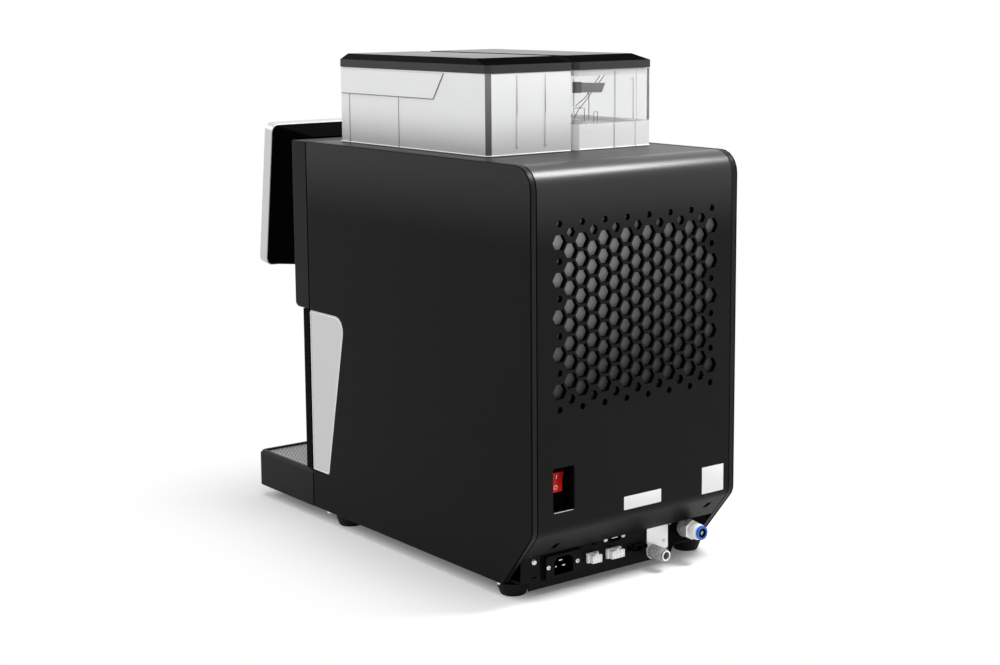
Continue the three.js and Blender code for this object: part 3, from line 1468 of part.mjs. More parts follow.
function agitator() {
  const teeth = 12;
  const rimWall = 3;
  const halfThickness = 2.5;
  const axleRadius = 2.5;
  const hubRadius = 7;
  const spokes = 3;
  const outline = Array.from({ length: teeth * 2 }, (_, i) => {
    const radius = i % 2 === 0 ? agitatorRadius : agitatorRadius - rimWall;
    const angle = Math.PI * i / teeth;
    return [agitatorY + radius * Math.cos(angle), agitatorZ + radius * Math.sin(angle)];
  });
  const across = [augerX - halfThickness, augerX + halfThickness];
  const opening = turnedAlongX(
    rod(agitatorRadius - 2 * rimWall, across[0] - overrun, across[1] + overrun), agitatorY, agitatorZ,
  );
  const spokeBars = Array.from({ length: spokes }, (_, i) => {
    const angle = Math.PI * i / spokes;
    const reach = agitatorRadius - rimWall - rimWall / 2;
    const bar = rectangle(-reach, -rimWall / 2, reach, rimWall / 2);
    const turnedBar = bar.map(([a, b]) => [
      agitatorY + a * Math.cos(angle) - b * Math.sin(angle),
      agitatorZ + a * Math.sin(angle) + b * Math.cos(angle),
    ]);
    return alongX(turnedBar, across[0] + edgeBreak, across[1] - edgeBreak);
  });
  const axleEnds = [-hopperHalfSpan + hopperWall + fit, hopperSplitX - hopperGap / 2 - hopperWall - fit];
  const axle = turnedAlongX(rod(axleRadius, ...axleEnds), agitatorY, agitatorZ);
  const hub = turnedAlongX(
    rod(hubRadius, across[0] - halfThickness, across[1] + halfThickness), agitatorY, agitatorZ,
  );
  return joined(cutFrom(alongX(outline, ...across), opening), ...spokeBars, hub, axle);
}

// Mixing bowl hung under the deck, where the powder drops
function mixingBowl() {
  const wall = 2;
  const mouthRadius = 26;
  const outletRadius = 8;
  const rimHeight = 24;
  const coneHeight = 25;
  const outletLength = 20;
  const top = deckUnderside - fit;
  const shoulder = top - rimHeight;
  const throat = shoulder - coneHeight;
  const tip = throat - outletLength;
  return turned([
    [outletRadius - wall, tip], [outletRadius, tip], [outletRadius, throat], [mouthRadius, shoulder],
    [mouthRadius, top], [mouthRadius - wall, top], [mouthRadius - wall, shoulder + wall / 2],
    [outletRadius - wall, throat + wall / 2], [outletRadius - wall, tip],
  ], augerX, canisterOutletY);
}

place('auger', auger(), whiteNylon);
place('agitator_wheel', agitator(), whiteNylon);
place('mixing_bowl', mixingBowl(), whiteNylon);

// Grinder hung under the bean outlet, with its conical burr
const grinderDrop = 50.5;
const chamberHeight = 16;
const grinder = {
  radius: 37, motorRadius: 30, motorLength: 120, chamberRadius: 33,
  chamberFloor: deckUnderside - grinderDrop, chamberTop: deckUnderside - grinderDrop + chamberHeight,
};
const grinderTop = deckUnderside - fit;

function grinderBody() {
  const motorLow = grinder.chamberFloor - grinder.motorLength;
  const neckFloor = hopperBottom - neckDrop - fit;
  const throat = beanNeckRadius - neckWall;
  const collar = beanNeckRadius + 3 * sheet;
  const flange = collar + 3 * sheet;
  const housing = turned([
    [0, motorLow], [grinder.motorRadius, motorLow],
    [grinder.motorRadius, grinder.chamberFloor - 3 * sheet - overrun],
    [grinder.radius, grinder.chamberFloor - 3 * sheet], [grinder.radius, grinder.chamberTop + sheet],
    [collar, grinder.chamberTop + 5 * sheet], [collar, grinderTop - 2 * sheet],
    [flange, grinderTop - 2 * sheet], [flange, grinderTop],
    [beanNeckRadius + seam, grinderTop], [beanNeckRadius + seam, neckFloor], [throat, neckFloor],
    [throat, grinder.chamberTop + 4 * sheet], [grinder.chamberRadius, grinder.chamberTop],
    [grinder.chamberRadius, grinder.chamberFloor], [0, grinder.chamberFloor],
  ], beanOutletX, beanOutletY);
  const chuteHalf = 8;
  const square = (x, y, z) => rectangle(y - chuteHalf, z - chuteHalf, y + chuteHalf, z + chuteHalf)
    .map(([across, up]) => new THREE.Vector3(x, across, up));
  const startX = beanOutletX - grinder.radius + 2 * sheet;
  const chute = loft([
    square(startX, beanOutletY + chuteHalf, grinder.chamberFloor),
    square(brew.x + brew.halfWidth - chuteHalf, brew.y - chuteHalf, brew.top + 2 * chuteHalf),
  ]);
  const clearOfChamber = turned(
    rod(grinder.chamberRadius, grinder.chamberFloor, grinder.chamberTop), beanOutletX, beanOutletY,
  );
  return joined(housing, cutFrom(chute, clearOfChamber));
}

function grinderBurr() {
  const flutes = 10;
  const twist = 0.5;
  const levels = 6;
  const low = grinder.chamberFloor + runningGap;
  const high = grinder.chamberTop + 3 * sheet;
  const [wide, narrow] = [grinder.chamberRadius - 2 * sheet, beanNeckRadius / 2];
  const fluteDepthShare = 0.14;
  return loft(Array.from({ length: levels + 1 }, (_, level) => {
    const share = level / levels;
    const radius = wide + (narrow - wide) * share;
    return Array.from({ length: flutes * 2 }, (__, i) => {
      const tooth = i % 2 === 0 ? radius : radius * (1 - fluteDepthShare);
      const angle = Math.PI * i / flutes + twist * share;
      return new THREE.Vector3(
        beanOutletX + tooth * Math.cos(angle), beanOutletY + tooth * Math.sin(angle),
        low + (high - low) * share,
      );
    });
  }));
}

// Brew unit: a carrier on the bulkhead with an open cylinder and its piston
const brewDrop = 74.5;
const brewHeight = 150;
const brewStroke = 100;
const brewX = -18;
const brewSetBack = 43;
const brewHalfWidth = 42;
const brewBore = 20;
const brewTop = deckUnderside - brewDrop;
const brew = {
  x: brewX, y: bulkheadY - brewSetBack, halfWidth: brewHalfWidth, low: brewTop - brewHeight,
  top: brewTop, bore: brewBore, boreFloor: brewTop - brewStroke,
};

function brewUnit() {
  const rear = bulkheadY - fit;
  const front = brew.y - brew.halfWidth + 2 * sheet;
  const funnelHeight = 16;
  const wasteSlot = 10;
  const corner = 6;
  const carrier = alongZ(
    rectangle(brew.x - brew.halfWidth, front, brew.x + brew.halfWidth, rear, corner), brew.low, brew.top,
  );
  const bore = turned(rod(brew.bore, brew.boreFloor, brew.top + overrun), brew.x, brew.y);
  const funnelAt = (z, inset) => ringAt(rectangle(
    brew.x - brew.halfWidth + inset, front + inset, brew.x + brew.halfWidth - inset, rear - inset,
  ), z);
  const funnel = loft([
    funnelAt(brew.top - funnelHeight, brew.halfWidth - brew.bore - sheet),
    funnelAt(brew.top + edgeBreak, mouldedWall),
  ]);
  const wasteMouth = block(
    brew.x - brew.bore, brew.x + brew.bore, front - overrun, brew.y,
    brew.low + wasteSlot, brew.boreFloor - wasteSlot,
  );
  return cutFrom(carrier, bore, funnel, wasteMouth);
}

function brewPiston() {
  const headRadius = brew.bore - runningGap;
  const headDepth = 24;
  const headHeight = 12;
  const stemRadius = 8;
  const stemReach = 36;
  const headLow = brew.top - headDepth;
  const headHigh = headLow + headHeight;
  const stemTop = brew.top + stemReach;
  const grooveDepth = 1.5;
  return turned([
    [0, headLow], [headRadius, headLow], [headRadius, headLow + sheet],
    [headRadius - grooveDepth, headLow + sheet], [headRadius - grooveDepth, headLow + 2 * sheet],
    [headRadius, headLow + 2 * sheet], [headRadius, headHigh], [stemRadius, headHigh], [stemRadius, stemTop],
    [0, stemTop],
  ], brew.x, brew.y);
}

place('grinder_body', grinderBody(), blackPlastic);
place('grinder_burr', grinderBurr(), steel);
place('brew_unit', brewUnit(), blackPlastic);
place('brew_piston', brewPiston(), clearGrey);

// Boiler, pump and control board behind the bulkhead
function boiler() {
  const radius = 45;
  const sideSpace = 26.8;
  const x = -innerHalf + sideSpace + radius;
  const y = (bulkheadY + sheet + valveFrontY) / 2;
  const height = 190;
  const dome = 12;
  const skirtHeight = 12;
  const portRadius = 12;
  const low = baseTop + fit;
  const body = low + skirtHeight;
  return turned([
    [0, body], [radius - dome, body], [radius - dome, low], [radius - dome / 2, low],
    [radius - dome / 2, body], [radius, body + dome / 2], [radius, low + height - dome],
    [radius - dome, low + height], [portRadius, low + height + dome / 2],
    [portRadius, low + height + dome], [0, low + height + dome],
  ], x, y);
}

function pump() {
  const x = 60;
  const coilRadius = 20;
  const bodyLength = 40;
  const front = (bulkheadY + plateY - inlet.depth - bodyLength - coilRadius) / 2;
  const portRadius = 6;
  const cradleHeight = 14;
  const low = baseTop + fit;
  const axisZ = low + cradleHeight + coilRadius - sheet;
  const cradle = block(x - coilRadius, x + coilRadius, front, front + bodyLength, low, low + cradleHeight);
  const body = turnedAlongY([
    [0, front - coilRadius], [portRadius, front - coilRadius], [portRadius, front],
    [coilRadius, front], [coilRadius, front + bodyLength], [coilRadius / 2, front + bodyLength],
    [coilRadius / 2, front + bodyLength + coilRadius], [portRadius, front + bodyLength + coilRadius],
    [portRadius, front + bodyLength + 2 * coilRadius], [0, front + bodyLength + 2 * coilRadius],
  ], x, axisZ);
  return joined(cradle, body);
}

function controlBoard() {
  const boardInset = 46.8;
  const boardDrop = 34.5;
  const boardHeight = 140;
  const halfBoard = innerHalf - boardInset;
  const high = deckUnderside - boardDrop;
  const low = high - boardHeight;
  const thickness = 1.6;
  const standoff = 8;
  const postRadius = 3.5;
  const postInset = 8;
  const transformerShare = -0.8;
  const transformerRise = 15;
  const transformerWidth = 42;
  const transformerHeight = 35;
  const transformerReach = 30;
  const relayCount = 4;
  const relayShare = -0.1;
  const relayRise = 12;
  const relayWidth = 17;
  const relayHeight = 28;
  const relayReach = 16;
  const relayPitch = 24;
  const sinkShare = 0.2;
  const sinkRise = 60;
  const sinkWidth = 38;
  const sinkHeight = 50;
  const sinkThickness = 3;
  const finCount = 5;
  const finReach = 24;
  const finPitch = 9;
  const capacitorCount = 3;
  const capacitorShare = -0.7;
  const capacitorRise = 75;
  const capacitorRadius = 8;
  const capacitorReach = 25;
  const capacitorPitch = 20;
  const faceY = bulkheadY + sheet + fit + standoff;
  const partY = faceY + thickness;
  const boxed = (x, rise, width, height, reach) => block(
    x, x + width, faceY, partY + reach, low + rise, low + rise + height,
  );
  const board = block(-halfBoard, halfBoard, faceY, partY, low, high);
  const posts = [-1, 1].flatMap((side) => [low + postInset, high - postInset].map((z) => turnedAlongY(
    rod(postRadius, faceY - standoff, partY), side * (halfBoard - postInset), z,
  )));
  const transformer = boxed(
    transformerShare * halfBoard, transformerRise, transformerWidth, transformerHeight, transformerReach,
  );
  const relays = Array.from({ length: relayCount }, (_, i) => boxed(
    relayShare * halfBoard + i * relayPitch, relayRise, relayWidth, relayHeight, relayReach,
  ));
  const capacitors = Array.from({ length: capacitorCount }, (_, i) => turnedAlongY(
    rod(capacitorRadius, faceY, partY + capacitorReach),
    capacitorShare * halfBoard + i * capacitorPitch, low + capacitorRise,
  ));
  const sink = boxed(sinkShare * halfBoard, sinkRise, sinkWidth, sinkHeight, sinkThickness);
  const fins = Array.from({ length: finCount }, (_, i) => boxed(
    sinkShare * halfBoard + i * finPitch, sinkRise, sheet, sinkHeight, finReach,
  ));
  return joined(board, ...posts, transformer, ...relays, ...capacitors, sink, ...fins);
}

place('boiler', boiler(), chrome);
place('pump', pump(), zincAlloy);
place('control_board', controlBoard(), circuitGreen);

machine.updateMatrixWorld(true);
const bounds = new THREE.Box3().setFromObject(machine, true);
machine.position.set(
  -(bounds.min.x + bounds.max.x) / 2, -(bounds.min.y + bounds.max.y) / 2, -bounds.min.z,
);

export default machine;
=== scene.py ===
import functools
import json
import math
from contextlib import contextmanager

import bmesh
import bpy
from mathutils import Matrix, Vector


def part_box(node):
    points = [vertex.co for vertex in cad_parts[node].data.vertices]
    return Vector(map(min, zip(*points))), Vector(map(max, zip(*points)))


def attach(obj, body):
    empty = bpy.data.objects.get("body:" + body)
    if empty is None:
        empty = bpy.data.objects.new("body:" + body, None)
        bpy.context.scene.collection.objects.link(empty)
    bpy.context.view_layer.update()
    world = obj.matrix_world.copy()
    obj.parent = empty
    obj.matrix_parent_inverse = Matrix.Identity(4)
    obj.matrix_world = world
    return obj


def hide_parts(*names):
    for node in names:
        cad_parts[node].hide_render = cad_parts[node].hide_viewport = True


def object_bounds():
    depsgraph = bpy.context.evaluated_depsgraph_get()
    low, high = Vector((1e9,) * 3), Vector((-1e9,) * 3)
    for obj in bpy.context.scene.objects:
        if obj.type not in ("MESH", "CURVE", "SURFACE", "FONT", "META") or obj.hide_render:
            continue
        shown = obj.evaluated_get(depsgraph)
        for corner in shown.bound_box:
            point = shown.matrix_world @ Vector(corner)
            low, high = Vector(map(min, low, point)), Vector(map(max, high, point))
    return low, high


bl_info = {
    "name": "Bean to cup coffee machine",
    "version": (1, 0, 0),
    "blender": (4, 5, 0),
    "location": "View3D > Sidebar > Coffee machine",
    "description": "Finishes and small parts of a countertop bean to cup coffee machine",
    "category": "Object",
}

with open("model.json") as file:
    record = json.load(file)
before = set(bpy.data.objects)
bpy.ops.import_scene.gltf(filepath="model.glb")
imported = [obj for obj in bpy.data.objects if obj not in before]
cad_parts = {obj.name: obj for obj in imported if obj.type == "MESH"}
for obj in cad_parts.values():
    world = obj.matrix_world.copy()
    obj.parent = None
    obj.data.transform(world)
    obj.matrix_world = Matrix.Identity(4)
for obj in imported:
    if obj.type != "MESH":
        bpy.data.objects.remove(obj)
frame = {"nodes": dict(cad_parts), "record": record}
CAD_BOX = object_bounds()
MM = 0.001


# Settings a user would change

def length(name, description, default, low):
    """A length setting, given in millimetres."""
    return bpy.props.FloatProperty(
        name=name, description=description, default=default * MM, min=low * MM, unit="LENGTH",
        subtype="DISTANCE")


def tone(name, description, default):
    """A colour setting."""
    return bpy.props.FloatVectorProperty(
        name=name, description=description, size=3, default=default, min=0, max=1, subtype="COLOR")


def power(name, description, default):
    """A lamp's power setting, in watts."""
    return bpy.props.FloatProperty(name=name, description=description, default=default, min=0, unit="POWER")


class MachineSizes(bpy.types.PropertyGroup):
    edge_radius: length("Edge radius", "Rounding of the sheet and moulded edges", 0.45, 0.05)
    screw_head: length("Screw head", "Diameter of the pan heads on the rear plates", 5.6, 1)
    grille_pitch: length("Grille pitch", "Distance between the slots of the drip grille", 3.4, 2)
    grille_slot: length("Grille slot", "Length of a slot of the drip grille", 4.4, 2)
    label_thickness: length("Label thickness", "Thickness of the bare paper labels", 0.2, 0.05)


class MachineColours(bpy.types.PropertyGroup):
    paint: tone("Paint", "Black powder coat of the cabinet", (0.0066, 0.0068, 0.0074))
    moulding: tone("Moulding", "Black moulded plastic", (0.0048, 0.0048, 0.0052))
    silver: tone("Silver", "Satin silver of the side trim and the screen frame", (0.57, 0.57, 0.58))
    frost: tone("Frosted hopper", "Tint of the frosted bean hopper", (0.90, 0.905, 0.905))
    clear: tone("Clear canister", "Tint of the clear powder canister", (0.985, 0.99, 0.99))
    rocker: tone("Rocker", "Red of the mains rocker", (0.62, 0.012, 0.008))
    collar: tone("Collar", "Blue of the release collar", (0.012, 0.13, 0.62))


class MachineStage(bpy.types.PropertyGroup):
    key_light: power("Key light", "Power of the soft light over the left rear corner", 16.0)
    top_light: power("Top light", "Power of the large light over the machine", 18.0)
    side_light: power("Side light", "Power of the soft light beside the camera", 15.0)
    front_light: power("Front light", "Power of the light on the screen side", 10.0)
    sky: bpy.props.FloatProperty(
        name="Room light", description="Strength of the even light from the room", default=0.5, min=0)
    lens: bpy.props.FloatProperty(
        name="Lens", description="Focal length on a 36 mm wide sensor", default=64.46, min=10, unit="CAMERA")


def settings():
    scene = bpy.context.scene
    return scene.machine_sizes, scene.machine_colours, scene.machine_stage


def add_object(name, data):
    thing = bpy.data.objects.new(name, data)
    bpy.context.scene.collection.objects.link(thing)
    return thing


def evaluated(host):
    """The mesh that an object's modifiers make; the modifiers and the object go."""
    graph = bpy.context.evaluated_depsgraph_get()
    mesh = bpy.data.meshes.new_from_object(host.evaluated_get(graph))
    host.modifiers.clear()
    bpy.data.objects.remove(host)
    return mesh


# Node trees written as expressions

class Value:
    """A node socket that can be used in sums."""

    def __init__(self, tree, socket):
        self.tree, self.socket = tree, socket

    def sum(self, operation, first, second):
        return self.tree.node("ShaderNodeMath", {0: first, 1: second}, operation=operation)

    def __add__(self, other):
        return self.sum("ADD", self, other)

    def __sub__(self, other):
        return self.sum("SUBTRACT", self, other)

    def __rsub__(self, other):
        return self.sum("SUBTRACT", other, self)

    def __mul__(self, other):
        return self.sum("MULTIPLY", self, other)

    def __truediv__(self, other):
        return self.sum("DIVIDE", self, other)

    __radd__, __rmul__ = __add__, __mul__


class Tree:
    """The nodes and links of one node tree."""

    def __init__(self, tree):
        self.tree, self.nodes = tree, tree.nodes

    def node(self, kind, sockets=None, out=0, **settings):
        """One node: its settings are set first, then the values or links of its sockets."""
        made = self.nodes.new(kind)
        for key, value in settings.items():
            setattr(made, key, value)
        for key, value in (sockets or {}).items():
            for each in value if isinstance(value, list) else [value]:
                self.feed(made.inputs[key], each)
        return Value(self, made.outputs[out])

    def feed(self, socket, value):
        if isinstance(value, Value):
            self.tree.links.new(value.socket, socket)
        else:
            socket.default_value = (*value, 1) if socket.type == "RGBA" else value


class Finish(Tree):
    """A material with one Principled shader and the nodes that vary it."""

    def __init__(self, name):
        self.material = bpy.data.materials.new(name)
        self.material.use_nodes = True
        super().__init__(self.material.node_tree)
        self.shader = self.nodes["Principled BSDF"]

    def set(self, shader=None, **values):
        """Set or link sockets of the first shader, or of another one."""
        for key, value in values.items():
            self.feed((shader or self.shader).inputs[key.replace("_", " ")], value)

    def cover(self, share, other):
        """Lay another shader over the first one by a share."""
        both = self.node("ShaderNodeMixShader", {0: share, 1: Value(self, self.shader.outputs[0]), 2: other})
        self.feed(self.nodes["Material Output"].inputs["Surface"], both)

    def place(self, stretch=(1, 1, 1)):
        """Object coordinates in metres, stretched along the axes."""
        where = self.node("ShaderNodeTexCoord", out="Object")
        return self.node("ShaderNodeMapping", {"Vector": where, "Scale": stretch})

    def rise(self, value, start, end):
        """0 to 1, eased, as a value goes from start to end."""
        return self.node(
            "ShaderNodeMapRange", {"Value": value, "From Min": start, "From Max": end},
            interpolation_type="SMOOTHSTEP")

    def along(self, axis, start, end):
        """0 to 1 as an object coordinate goes from start to end, in metres."""
        return self.rise(self.node("ShaderNodeSeparateXYZ", {0: self.place()}, out=axis), start, end)

    def noise(self, scale, detail=2.0, rough=0.5, stretch=(1, 1, 1)):
        return self.node(
            "ShaderNodeTexNoise",
            {"Vector": self.place(stretch), "Scale": scale, "Detail": detail, "Roughness": rough},
            out="Fac", noise_dimensions="3D")

    def between(self, share, low, high):
        """A number from low to high as share goes from 0 to 1."""
        return share * (high - low) + low

    def blend(self, share, first, second):
        """A colour from first to second; a Mix node keeps its colour sockets after its number sockets."""
        return self.node("ShaderNodeMix", {0: share, 6: first, 7: second}, out=2, data_type="RGBA")

    def bump(self, height, strength, distance=0.0004):
        return self.node("ShaderNodeBump", {"Height": height, "Strength": strength, "Distance": distance})


class Plan(Tree):
    """A Geometry Nodes tree with named inputs, which grow() runs on a small host mesh."""

    def __init__(self, name, *labels):
        super().__init__(bpy.data.node_groups.new(name, "GeometryNodeTree"))
        for label, way, kind in (
                ("Geometry", "INPUT", "Geometry"), *((label, "INPUT", "Float") for label in labels),
                ("Finish", "INPUT", "Material"), ("Geometry", "OUTPUT", "Geometry")):
            self.tree.interface.new_socket(name=label, in_out=way, socket_type="NodeSocket" + kind)
        self.start = self.nodes.new("NodeGroupInput")
        self.end = self.nodes.new("NodeGroupOutput")
        self.numbers = [self.given(label) for label in labels]

    def given(self, label):
        return Value(self, self.start.outputs[label])

    def stored(self, name, kind="FLOAT"):
        """A value that the host mesh keeps at each point."""
        return self.node("GeometryNodeInputNamedAttribute", {"Name": name}, data_type=kind)

    def vector(self, x=0.0, y=0.0, z=0.0):
        return self.node("ShaderNodeCombineXYZ", {0: x, 1: y, 2: z})

    def rectangle(self, width, height):
        return self.node("GeometryNodeCurvePrimitiveQuadrilateral", {"Width": width, "Height": height})

    def fillet(self, curve, radius, count):
        return self.node(
            "GeometryNodeFilletCurve", {"Curve": curve, "Count": count, "Radius": radius}, mode="POLY")

    def close(self, geometry):
        whole = self.node("GeometryNodeRealizeInstances", {"Geometry": geometry})
        done = self.node("GeometryNodeSetMaterial", {"Geometry": whole, "Material": self.given("Finish")})
        self.feed(self.end.inputs["Geometry"], done)

    def grow(self, host_mesh, finish, **values):
        host = add_object("host", host_mesh)
        modifier = host.modifiers.new(self.tree.name, "NODES")
        modifier.node_group = self.tree
        values["Finish"] = finishes()[finish]
        for item in self.tree.interface.items_tree:
            key = item.name.replace(" ", "_")
            if item.in_out == "INPUT" and key in values:
                modifier[item.identifier] = values[key]
        return evaluated(host)


# Finishes

def shade(colour, factor):
    """A colour made darker or paler; a single number is a grey."""
    channels = colour if isinstance(colour, tuple) else (colour,) * 3
    return tuple(min(1.0, channel * factor) for channel in channels)


def grained(name, rough, grain, depth):
    """A new finish with a fine grain and slow changes of gloss, and the slow noise itself."""
    finish = Finish(name)
    slow = finish.noise(9.0, 3.0, 0.55)
    fine = finish.noise(grain, 2.0, 0.6)
    finish.set(
        Roughness=finish.between(slow, rough - 0.05, rough + 0.05) + fine * 0.06 - 0.03,
        Normal=finish.bump(fine, depth))
    return finish, slow


def speckled(name, colour, rough, grain, depth, ior=1.5, spread=0.25, metal=0.0, coat=0.0):
    """Paint or moulded plastic: a fine grain, slow changes of tone and of gloss."""
    finish, slow = grained(name, rough, grain, depth)
    finish.set(
        Base_Color=finish.blend(slow, shade(colour, 1 - spread), shade(colour, 1 + spread)),
        Metallic=metal, IOR=ior, Coat_Weight=coat)
    return finish.material


def coat_with_painted_sheen(name, colour, rough, grain, depth, ior, low, high, most):
    """Black paint whose clear coat grows from the height low up to high: a painted sheen on its upper part.
    """
    finish, slow = grained(name, rough, grain, depth)
    specks = finish.noise(650.0, 1.0)
    finish.set(
        Base_Color=finish.blend(slow * 0.4 + specks * 0.6, shade(colour, 0.4), shade(colour, 1.6)),
        IOR=ior, Coat_Weight=finish.along("Z", low, high) * most, Coat_Roughness=rough, Coat_IOR=1.45)
    return finish.material


def brushed(name, colour, rough, stretch):
    """Metal with fine drawn lines along one direction."""
    finish = Finish(name)
    lines = finish.noise(1.0, 3.0, 0.65, stretch)
    slow = finish.noise(14.0)
    finish.set(
        Base_Color=finish.blend(lines, shade(colour, 0.93), shade(colour, 1.05)),
        Roughness=finish.between(lines, rough - 0.06, rough + 0.06) + slow * 0.06 - 0.03,
        Normal=finish.bump(lines, 0.12, 0.0002), Metallic=1.0)
    return finish.material


def painted_light_backing(name, dark, pale):
    """The sheet behind the vent, with painted light and shade: paler upwards and towards the machine's right
    side.
    """
    finish = Finish(name)
    across = finish.along("X", -0.12, 0.12)
    upward = finish.along("Z", 0.20, 0.43)
    fine = finish.noise(1200.0, 2.0, 0.6)
    finish.set(
        Base_Color=finish.blend(upward * finish.between(across, 0.35, 1.0), dark, pale),
        Roughness=finish.between(fine, 0.42, 0.55), Normal=finish.bump(fine, 0.08), IOR=1.4)
    return finish.material


def rocker_painted_light(name, colour, low, high):
    """Red plastic with painted light and shade: brightest at its lower corner on the machine's right side,
    darker upwards.
    """
    finish = Finish(name)
    upward = finish.along("Z", low.z, high.z)
    across = finish.along("X", low.x, high.x)
    fine = finish.noise(1200.0)
    # Painted light and shade: paler low down and towards the machine's right side
    share = (1.0 - upward) * 0.6 + across * 0.4
    finish.set(
        Base_Color=finish.blend(share, shade(colour, 0.35), shade(colour, 1.6)),
        Roughness=finish.between(fine, 0.18, 0.26), Normal=finish.bump(fine, 0.02), IOR=1.2)
    return finish.material


def smoked(name, colour):
    """Smoked plastic walls."""
    finish = Finish(name)
    flow = finish.noise(22.0, 3.0)
    fine = finish.noise(1400.0, 2.0, 0.6)
    finish.set(
        Base_Color=finish.blend(flow, shade(colour, 0.97), colour),
        Roughness=finish.between(flow, 0.096, 0.144),
        Normal=finish.bump(flow * 0.8 + fine * 0.2, 0.1, 0.0006), Transmission_Weight=0.35, IOR=1.49)
    return finish.material


def frosted(name, colour, painted_shade_depth, low, high, transmission=0.0, painted_glow=0.03):
    """Milky plastic with painted shade, darkening by its shade factor from the height high to low, and a
    faint painted glow of its own colour.
    """
    finish = Finish(name)
    flow = finish.noise(16.0, 3.0)
    fine = finish.noise(1600.0, 2.0, 0.6)
    height = finish.along("Z", low, high) * 0.9 + flow * 0.1
    tint = finish.blend(height, shade(colour, painted_shade_depth), shade(colour, 1))
    # The height blend is painted shade; the emission is a painted glow
    finish.set(
        Base_Color=tint, Roughness=finish.between(flow, 0.38, 0.5), Normal=finish.bump(fine, 0.12),
        Transmission_Weight=transmission, IOR=1.3, Emission_Color=tint, Emission_Strength=painted_glow)
    return finish.material


def clear_above(name, colour, level):
    """Clear plastic that turns milky below a height; the milky part has a faint painted glow."""
    finish = Finish(name)
    flow = finish.noise(22.0, 3.0)
    finish.set(
        Base_Color=finish.blend(flow, shade(colour, 0.98), colour),
        Roughness=finish.between(flow, 0.02, 0.05), Transmission_Weight=1.0, IOR=1.22)
    milk = finish.nodes.new("ShaderNodeBsdfPrincipled")
    # The milky shader's emission is a painted glow
    finish.set(
        milk, Base_Color=finish.blend(flow, shade(0.72, 1), shade(0.79, 1)), Roughness=0.4, IOR=1.3,
        Emission_Color=(1, 1, 1), Emission_Strength=0.08)
    above = finish.along("Z", level - 1.5 * MM, level + 1.5 * MM)
    finish.cover(finish.between(above, 0.85, 0.08), Value(finish, milk.outputs[0]))
    return finish.material


